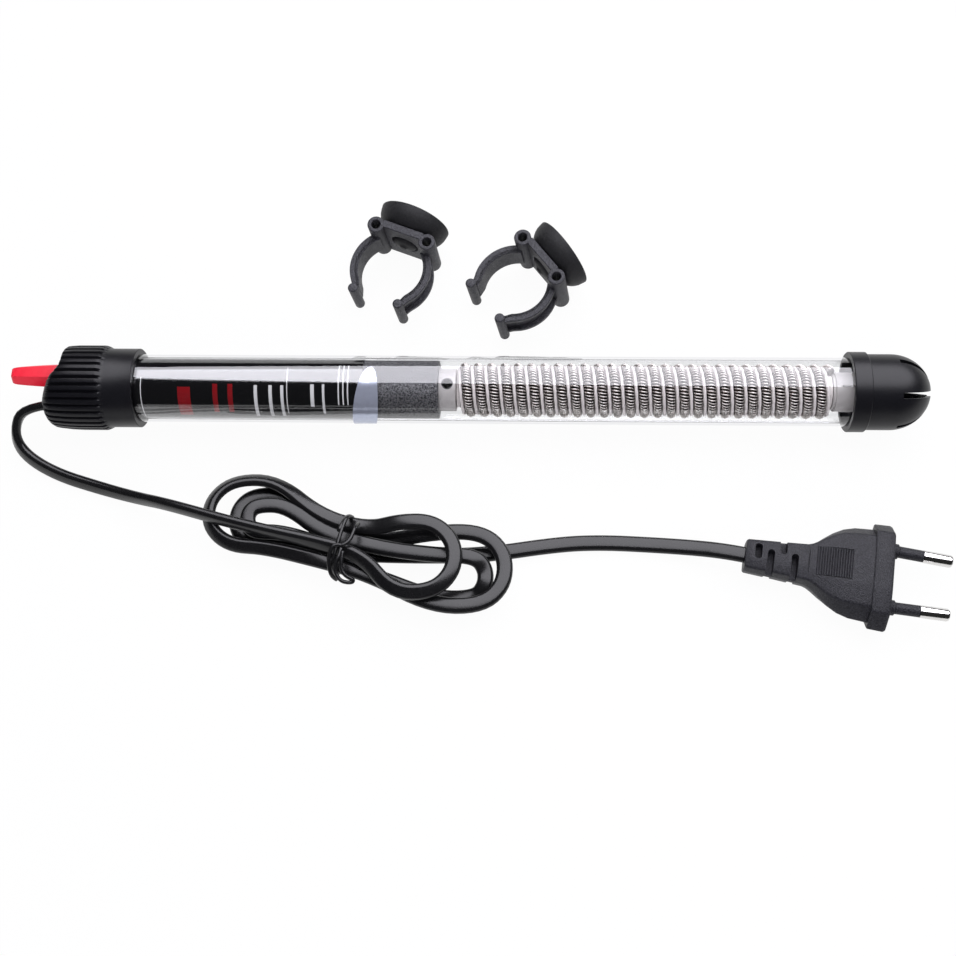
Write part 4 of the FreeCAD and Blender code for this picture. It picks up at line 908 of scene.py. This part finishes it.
grip_tree = Pattern("plug_grip_ribs")
count = grip_tree.size("Ribs", GRIP_RIBS)
rib_r = grip_tree.size("Rib Radius", GRIP_RIB_R)
rib_length = grip_tree.size("Rib Length", 2 * GRIP_HALF)
row = grip_tree.node("GeometryNodeMeshLine", {"mode": "END_POINTS"}, {
    "Count": count,
    "Start Location": grip_tree.spot(GRIP_FIRST[0], GRIP_SIDE, GRIP_FIRST[1] - GRIP_RIB_SUNK),
    "Offset": grip_tree.spot(GRIP_LAST[0], GRIP_SIDE, GRIP_LAST[1] - GRIP_RIB_SUNK)})
rib = grip_tree.node("GeometryNodeMeshCylinder", {},
                     {"Vertices": 12, "Radius": rib_r * MM, "Depth": rib_length * MM})
ribs = grip_tree.node("GeometryNodeInstanceOnPoints", {},
                      {"Points": row, "Instance": rib, "Rotation": (math.pi / 2, 0.0, 0.0)})
grip_mesh = grip_tree.made(ribs, plug_plastic)
grip = piece("plug_grip_ribs", grip_mesh, plug_plastic, place=plug_place)

# Plug pins: nickelled brass pins with round tips, and the insulating sleeve on the half of each
# that stands next to the plug.
PIN_SIDE = 9.3
PIN_LENGTH = 19.0
PIN_TIP_IN = 0.55
PIN_LEAN = math.atan2(PIN_TIP_IN, PIN_LENGTH)
PIN_PROFILE = [(-4.0, 0), (-4.0, 1.3), (10.0, 1.3), (10.0, 2.0), (18.2, 2.0), (18.75, 1.75),
               (PIN_LENGTH, 1.2), (PIN_LENGTH, 0)]
SLEEVE_PROFILE = [(0.1, 1.35), (0.1, 2.3), (0.3, 2.4), (2.0, 2.4), (2.15, 2.2), (2.15, 1.7),
                  (2.5, 1.7), (2.5, 1.85), (9.8, 1.85), (9.95, 1.7), (9.95, 1.35)]


def joined(*shapes):
    """Several closed shapes as one list of points and faces."""
    points = []
    faces = []
    for shape in shapes:
        start = len(points)
        points += list(shape[0])
        faces += [tuple(start + corner for corner in face) for face in shape[1]]
    return points, faces


def both_pins(profile, loop):
    """Two like shapes, each leaning in a little, set on the plug's face."""
    shapes = []
    for side in (-1, 1):
        place = (Matrix.Translation((0, side * PIN_SIDE, 0))
                 @ Matrix.Rotation(-side * PIN_LEAN, 4, "Z"))
        points, faces = lathe(profile, 40, loop=loop)
        shapes.append(([tuple(place @ Vector(point)) for point in points], faces))
    return joined(*shapes)


bright_nickel = Finish("bright_nickel", Metallic=1.0, Roughness=0.14)
bright_nickel.mottled((1.0, 4.0, 0.6), (0.62, 0.61, 0.6), (0.78, 0.77, 0.76))
pins = piece("nickel_pins", both_pins(PIN_PROFILE, False), bright_nickel, place=plug_place)
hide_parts("plug_pins")
sleeves = piece("pin_insulation", both_pins(SLEEVE_PROFILE, True), plug_plastic, place=plug_place)
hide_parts("pin_sleeves")

# Cord: flat twin cord in a smooth black sheath, 5.2 mm by 3 mm. It leaves the cap, lies on the
# table, is folded into a tied hank of three turns, and goes on to the plug.
CORD_HALF_FLAT = 1.1
CORD_HALF_THICK = 1.5
CORD_SIDES = 20
CORD_ROUTE = [
    (-141.0, -5.8, 0.0), (-154.4, -6.4, -0.5), (-158.9, -12.8, -6.2), (-157.0, -19.0, -11.3),
    (-145.1, -26.2, -11.7), (-129.0, -31.2, -11.7), (-115.5, -35.4, -9.4), (-104.0, -39.4, -3.6),
    (-79.3, -46.9, -1.4), (-57.6, -51.6, -1.4), (-39.3, -56.5, -1.4), (-29.5, -68.5, -1.4),
    (-17.0, -68.5, -1.4), (-10.2, -61.7, -1.4), (-10.2, -52.1, -1.4), (-17.0, -45.3, -1.4),
    (-27.7, -45.3, -1.4), (-38.5, -46.6, -6.0), (-54.0, -42.4, -6.0), (-68.8, -30.0, -6.0),
    (-83.2, -30.0, -6.0), (-90.4, -36.9, -6.0), (-90.4, -45.7, -6.0), (-83.2, -52.4, -6.0),
    (-71.1, -52.9, -6.0), (-55.5, -56.5, -6.0), (-37.2, -61.4, -6.0), (-17.6, -71.5, -6.0),
    (-1.5, -71.5, -6.0), (5.6, -64.4, -6.0), (5.6, -54.2, -6.0), (-1.5, -47.1, -6.0),
    (-16.4, -47.1, -6.0), (-35.3, -49.6, -10.6), (-52.8, -44.9, -10.6), (-65.1, -33.4, -10.6),
    (-77.1, -33.4, -10.6), (-82.1, -38.4, -10.6), (-82.1, -45.6, -10.6), (-77.1, -50.6, -10.6),
    (-66.7, -50.6, -10.6), (-54.1, -55.7, -10.6), (-37.3, -60.2, -10.6), (-17.5, -67.8, -10.6),
    (-4.1, -67.8, -10.6), (-0.5, -64.2, -8.3), (-0.5, -58.6, -8.3), (-4.1, -55.0, -6.0),
    (-16.7, -55.0, -6.0), (-36.1, -52.5, -6.0), (-53.0, -48.0, -6.0), (-65.3, -38.6, -6.0),
    (-74.9, -38.6, -6.0), (-77.6, -41.3, -6.0), (-77.6, -45.1, -6.0), (-74.9, -47.8, -6.0),
    (-66.0, -47.8, -6.0), (-52.9, -50.5, -10.6), (-42.2, -53.4, -10.6), (-34.1, -53.7, -10.6),
    (-20.5, -53.7, -11.0), (-1.5, -52.9, -12.3), (23.0, -48.8, -12.4), (37.0, -48.1, -12.4),
    (52.5, -48.8, -12.2), (65.5, -50.1, -10.6), (75.2, -52.1, -7.6), (81.2, -53.4, -7.2)]
CORD_ROLL = [(0.0, 60.0), (0.07, 66.0), (0.095, 80.0), (0.15, 75.0), (0.2, 30.0), (0.25, 0.0),
             (0.28, 0.0), (0.31, 45.0), (0.37, 45.0), (0.4, 0.0), (1.0, 0.0)]


def route_line(name, route, steps=6):
    """Points along a smooth curve whose control points are the route's, in millimetres."""
    curve = bpy.data.curves.new(name, "CURVE")
    curve.dimensions = "3D"
    curve.resolution_u = steps
    spline = curve.splines.new("NURBS")
    spline.points.add(len(route) - 1)
    for point, place in zip(spline.points, route):
        point.co = (*(Vector(place) * MM), 1.0)
    spline.order_u = 3
    spline.use_endpoint_u = True
    holder = bpy.data.objects.new(name, curve)
    bpy.context.scene.collection.objects.link(holder)
    points = [vertex.co / MM for vertex in plain(holder).vertices]
    bpy.data.objects.remove(holder)
    return points


def heading(points, index):
    """The way that a line of points goes at one of them."""
    return (points[min(index + 1, len(points) - 1)] - points[max(index - 1, 0)]).normalized()


def flat_cord(points, roll_table):
    """A flat cord along a line: a section with two round edges, rolled by a table of shares."""
    section = []
    for index in range(CORD_SIDES):
        angle = 2 * math.pi * (index + 0.5) / CORD_SIDES
        offset = CORD_HALF_FLAT if math.cos(angle) > 0 else -CORD_HALF_FLAT
        section.append((offset + CORD_HALF_THICK * math.cos(angle),
                        CORD_HALF_THICK * math.sin(angle)))
    reach = [0.0]
    for before, after in zip(points, points[1:]):
        reach.append(reach[-1] + (after - before).length)
    rings = [[tuple(points[0])]]
    for index, point in enumerate(points):
        way = heading(points, index)
        level = Vector((-way.y, way.x, 0)).normalized()
        top = way.cross(level)
        roll = math.radians(between(roll_table, reach[index] / reach[-1]))
        wide = level * math.cos(roll) + top * math.sin(roll)
        thin = way.cross(wide)
        rings.append([tuple(point + wide * u + thin * v) for u, v in section])
    rings.append([tuple(points[-1])])
    return skin(rings), reach[-1]


black_sheath = Finish("black_sheath", Specular_IOR_Level=0.34)
black_sheath.mottled((0.8, 4.0, 0.6), (0.004, 0.004, 0.0045), (0.012, 0.012, 0.013), (0.04, 0.3))
black_sheath.set(Roughness=0.18 + black_sheath.grain(7.0, 3.0) * 0.12)
cord_points = route_line("cord_route", CORD_ROUTE)
cord_shape, cord_measured = flat_cord(cord_points, CORD_ROLL)
cord = piece("flat_cord", cord_shape, black_sheath, sharp=60)
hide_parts("cord_lead", "cord_hank", "cord_tail")

# Twist tie: a thin wire in black plastic, passed round the middle of the hank, its ends twisted
# together on top and bent into two small loops.
TIE_R = 0.65
TIE_ROUTES = [
    [(-43.2, -43.6, -3.0), (-44.2, -44.0, 1.0), (-45.6, -49.0, 2.0), (-47.0, -55.0, 1.8),
     (-48.2, -59.8, 0.8), (-48.6, -61.4, -3.0), (-48.6, -61.2, -9.0), (-48.0, -59.4, -13.2),
     (-46.2, -52.0, -13.3), (-44.2, -44.4, -13.2), (-43.6, -42.6, -10.0), (-43.8, -42.6, -4.0),
     (-45.0, -45.0, 1.2), (-46.6, -50.0, 2.2)],
    [(-41.0, -46.2, -1.5), (-41.5, -48.2, 1.6), (-42.0, -50.5, 2.2), (-42.8, -52.8, 2.4),
     (-44.0, -54.2, 2.6), (-45.2, -54.8, 2.6)],
    [(-45.2, -54.8, 2.7), (-47.2, -54.5, 2.9), (-48.6, -55.9, 2.7), (-49.3, -58.5, 1.8),
     (-49.2, -61.4, 0.4), (-48.5, -63.7, -2.0), (-47.2, -64.0, -4.0)],
    [(-45.5, -55.5, 2.4), (-45.7, -57.8, 2.5), (-46.8, -59.8, 2.2), (-47.3, -62.1, 1.4),
     (-46.6, -64.0, 0.6), (-45.2, -65.6, 0.0), (-43.3, -66.0, -0.4), (-41.5, -65.9, -0.4),
     (-41.4, -65.1, 0.0), (-43.1, -64.6, 0.8), (-44.7, -63.3, 1.6), (-45.2, -61.4, 2.2),
     (-45.0, -59.1, 2.8), (-44.8, -56.8, 3.1)]]


def tube(points, radius, sides=10):
    """A round wire along a line of points, with its frame carried along without twist."""
    rings = [[tuple(points[0])]]
    side = None
    for index, point in enumerate(points):
        way = heading(points, index)
        side = way.orthogonal() if side is None else side - way * side.dot(way)
        side.normalize()
        other = way.cross(side)
        turns = [2 * math.pi * corner / sides for corner in range(sides)]
        rings.append([tuple(point + side * (radius * math.cos(turn))
                            + other * (radius * math.sin(turn))) for turn in turns])
    rings.append([tuple(points[-1])])
    return skin(rings)


tie_wires = [tube(route_line("tie_route", route, 8), TIE_R) for route in TIE_ROUTES]
tie = piece("twist_tie", joined(*tie_wires), black_sheath, sharp=180)
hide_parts("hank_tie")
cord_measured * MM

# Tube holders: black moulded clips, each with two sprung arms of channel section that snap over
# the glass, a flat plate between two hollow bosses, and a peg at the end of each arm.
CLIP_BORE_R = 11.25
BAND_OUT_R = 12.65
RIB_OUT_R = 14.05
ARM_HALF = 4.5
ARM_RIB = 1.7
ARM_TURNS = (-54.5, 49.0)
RIB_TURNS = (-54.5, 44.0)
ARM_FLARE = 1.4
ARM_FLARE_TURN = -40.0
PEG_X = 8.3
PEG_Y = -12.0
PEG_R = 1.7
PEG_HALF = 7.7
BOSS_X = 9.45
BOSS_Y = 11.3
BOSS_R = 2.9
BOSS_BORE_R = 1.55
BOSS_HALF = 9.5
CLIP_BEVEL = 0.25
PLATE_IN = 11.25
PLATE_OUT = 13.85
PLATE_HALF = 7.5
HEAD_RECESS_Y = 12.75
HEAD_RECESS_R = 4.85
NECK_HOLE_R = 2.48
CUP_OUT = 21.0
CUP_R = 12.5
PEG_REACH = PEG_R - PEG_Y
CLIP_TILT = math.atan2(CUP_R - PEG_HALF, PEG_REACH + CUP_OUT)
CLIP_LIFT = PEG_REACH * math.sin(CLIP_TILT) + PEG_HALF * math.cos(CLIP_TILT)
CLIP_PLACES = {"a": (-34.8, 46.3, -21.5), "b": (7.9, 40.4, -52.8)}


def post(x, y, radius, half, round_by=0.5, bore=0.0):
    """An upright round post with rounded ends, hollow if it has a bore."""
    profile = [(-half, bore), (-half, radius - round_by)]
    profile += quarter(-half + round_by, radius - round_by, round_by, round_by, 180, 90, 3)
    profile += quarter(half - round_by, radius - round_by, round_by, round_by, 90, 0, 3)
    profile += [(half, bore)]
    points, faces = lathe(profile, 36, loop=bore > 0)
    return [(x + p[1], y + p[2], p[0]) for p in points], faces


def sector(side, outer, low, high, turns):
    """A curved bar from the clip's bore out to a radius, that flares a little towards its peg."""
    corners = [(CLIP_BORE_R, low), (outer, low), (outer, high), (CLIP_BORE_R, high)]
    rings = []
    for index in range(31):
        degrees = turns[0] + (turns[1] - turns[0]) * index / 30
        out = ARM_FLARE * max(0.0, (degrees - ARM_FLARE_TURN) / (turns[0] - ARM_FLARE_TURN)) ** 1.5
        angle = math.radians(degrees)
        rings.append([(side * (r + out) * math.cos(angle), (r + out) * math.sin(angle), w)
                      for r, w in corners])
    ends = [[tuple(sum(p[k] for p in ring) / 4 for k in range(3))]
            for ring in (rings[0], rings[-1])]
    return skin([ends[0]] + rings + [ends[1]])


def back_plate():
    """The plate between the bosses, with the stepped round hole that holds the cup's button."""
    profile = [(None, PLATE_IN), (None, PLATE_OUT), (NECK_HOLE_R, PLATE_OUT),
               (NECK_HOLE_R, HEAD_RECESS_Y), (HEAD_RECESS_R, HEAD_RECESS_Y),
               (HEAD_RECESS_R, PLATE_IN)]
    rings = []
    for radius, v in profile:
        ring = []
        for index in range(48):
            angle = 2 * math.pi * index / 48
            edge = min(PLATE_HALF / max(abs(math.cos(angle)), 1e-6),
                       BOSS_HALF / max(abs(math.sin(angle)), 1e-6))
            reach = edge if radius is None else radius
            ring.append((reach * math.cos(angle), v, reach * math.sin(angle)))
        rings.append(ring)
    return skin(rings, loop=True)


clip_black = Finish("clip_black", Specular_IOR_Level=0.3)
clip_black.mottled((0.6, 5.0, 0.7), (0.01, 0.01, 0.0125), (0.05, 0.05, 0.06),
                   (0.1, 0.8), contrast=(0.35, 0.3))
clip_black.set(Roughness=0.36 + clip_black.grain(3.0, 4.0) * 0.25)
clip_shapes = [back_plate()]
for side in (-1, 1):
    clip_shapes.append(sector(side, BAND_OUT_R, -ARM_HALF, ARM_HALF, ARM_TURNS))
    clip_shapes.append(sector(side, RIB_OUT_R, -ARM_HALF, -ARM_HALF + ARM_RIB, RIB_TURNS))
    clip_shapes.append(sector(side, RIB_OUT_R, ARM_HALF - ARM_RIB, ARM_HALF, RIB_TURNS))
    clip_shapes.append(post(side * PEG_X, PEG_Y, PEG_R, PEG_HALF))
    clip_shapes.append(post(side * BOSS_X, BOSS_Y, BOSS_R, BOSS_HALF, 0.3, BOSS_BORE_R))
clip_stands = {}
for letter, (x, y, spin) in CLIP_PLACES.items():
    clip_stands[letter] = (Matrix.Translation(Vector((x, y, FLOOR_Z + CLIP_LIFT)) * MM)
                           @ Matrix.Rotation(math.radians(spin), 4, "Z")
                           @ Matrix.Rotation(CLIP_TILT, 4, "X"))
    clip = piece("holder_clip_" + letter, joined(*clip_shapes), clip_black, "clip_" + letter,
                 place=clip_stands[letter])
    bevel = clip.modifiers.new("soft_edges", "BEVEL")
    bevel.width = CLIP_BEVEL * MM
    bevel.segments = 2
    bevel.limit_method = "ANGLE"
    bevel.angle_limit = math.radians(40)
    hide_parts("clip_" + letter)

# Suction cups: soft black rubber, each with a neck and a button head that snap through the
# holder's plate and let the cup turn.
CUP_PROFILE = [(9.5, 0), (9.6, 1.0), (10.1, 1.5), (10.3, 2.4), (10.6, 3.4), (11.2, 4.2),
               (11.8, 4.5), (12.3, 4.5), (12.6, 4.2), (12.6, 2.4), (14.35, 2.4), (14.35, 8.8),
               (14.5, 9.05), (15.3, 10.1), (16.1, 10.85), (17.0, 11.45), (18.2, 12.0),
               (19.4, 12.25), (20.4, 12.4), (20.8, 12.45), (21.0, 12.3), (21.0, 11.6),
               (20.4, 11.2), (19.3, 10.3), (18.2, 9.2), (17.3, 8.0), (16.6, 6.8), (16.2, 5.6),
               (16.15, 0)]
for letter, stand in clip_stands.items():
    points, faces = lathe(CUP_PROFILE, 72)
    cup = piece("rubber_cup_" + letter, ([(p[1], p[0], p[2]) for p in points], faces), soft_rubber,
                "cup_" + letter, place=stand)
    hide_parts("suction_cup_" + letter)

# Studio: a white table, a wide oval lamp behind and above with a second one for reflections only,
# a weak fill in front, and the camera above the front edge. The table glows white to the camera
# and in reflections; the little that is left of its own colour takes the shadows.
CAMERA_AT = (13.574, -179.813, 388.089)
CAMERA_TURNS = (20.99, 2.322, 0.482)
CAMERA_LENS = 49.04
SENSOR_WIDTH = 36.0
TABLE_HALF = 3000
TABLE_BELOW = 0.2
TABLE_GLOW = 0.96
SKY_SEEN = 0.92
SKY_LIGHT = 0.08
SKY_LESS_IN_GLOSS = 0.055
LAMP_TINT = (0.95, 0.94, 1.0)
LAMP_ROLL = -4.0
SOFTBOX_SIZE = (1.32, 0.87)
SOFTBOX_POWER = 8.0
FILL_SIZE = (1.0, 0.6)
FILL_POWER = 4.0

table_white = Finish("table_white", Base_Color=(0.9, 0.9, 0.9, 1), Roughness=0.9)
rays = [table_white.node("ShaderNodeLightPath", output=kind) for kind in
        ("Is Camera Ray", "Is Glossy Ray", "Is Transmission Ray")]
glow = table_white.node("ShaderNodeEmission", {}, {"Color": (1, 1, 1, 1), "Strength": 1.0})
seen = (rays[0] + rays[1] + rays[2]).held() * TABLE_GLOW
shaded = Value(table_white, table_white.shader.outputs[0])
table_white.surface(table_white.layers(seen, shaded, glow))
table_corners = [(x * TABLE_HALF, y * TABLE_HALF, FLOOR_Z - TABLE_BELOW)
                 for x, y in ((-1, -1), (1, -1), (1, 1), (-1, 1))]
table_mesh = drawn("table", (table_corners, [(0, 1, 2, 3)]))
table_mesh.materials.append(table_white.material)
table = bpy.data.objects.new("table", table_mesh)
bpy.context.scene.collection.objects.link(table)

world = bpy.data.worlds.new("studio")
bpy.context.scene.world = world
world.use_nodes = True
sky = Nodes(world.node_tree)
backdrop = world.node_tree.nodes["Background"]
sky.put(backdrop.inputs["Color"], (1, 1, 1, 1))
to_camera = sky.node("ShaderNodeLightPath", output="Is Camera Ray")
in_gloss = sky.node("ShaderNodeLightPath", output="Is Glossy Ray")
sky_strength = to_camera * SKY_SEEN + SKY_LIGHT - in_gloss * SKY_LESS_IN_GLOSS
sky.put(backdrop.inputs["Strength"], sky_strength)


def lamp(name, place, size, power, diffuse, glossy):
    """A soft oval lamp that points square across the tube, in metres and watts."""
    light = bpy.data.lights.new(name, "AREA")
    light.shape = "ELLIPSE"
    light.size, light.size_y = size
    light.energy = power
    light.color = LAMP_TINT
    obj = bpy.data.objects.new(name, light)
    obj.location = place
    aim = Vector((0, -place[1], -place[2])).to_track_quat("-Z", "Y")
    roll = Quaternion((0, 0, 1), math.radians(LAMP_ROLL))
    obj.rotation_euler = (aim @ roll).to_euler()
    obj.visible_camera = False
    obj.visible_transmission = False
    obj.visible_diffuse = diffuse
    obj.visible_glossy = glossy
    bpy.context.scene.collection.objects.link(obj)


lamp("softbox", (0.27, 0.2817, 0.5298), SOFTBOX_SIZE, SOFTBOX_POWER, True, True)
lamp("softbox_gloss", (0.27, 0.2827, 0.5318), SOFTBOX_SIZE, SOFTBOX_POWER, False, True)
lamp("front_fill", (-0.1, -0.7, 0.5), FILL_SIZE, FILL_POWER, True, False)

camera = bpy.data.cameras.new("camera")
camera.lens = CAMERA_LENS
camera.sensor_width = SENSOR_WIDTH
camera.clip_start = 0.01
camera_obj = bpy.data.objects.new("camera", camera)
turn_x, turn_y, turn_z = (math.radians(value) for value in CAMERA_TURNS)
camera_obj.matrix_world = (Matrix.Translation(Vector(CAMERA_AT) * MM)
                           @ Matrix.Rotation(turn_x, 4, "X")
                           @ Matrix.Rotation(turn_y, 4, "Y")
                           @ Matrix.Rotation(turn_z, 4, "Z"))
bpy.context.scene.collection.objects.link(camera_obj)
bpy.context.scene.camera = camera_obj
bpy.context.scene.view_settings.view_transform = "Standard"
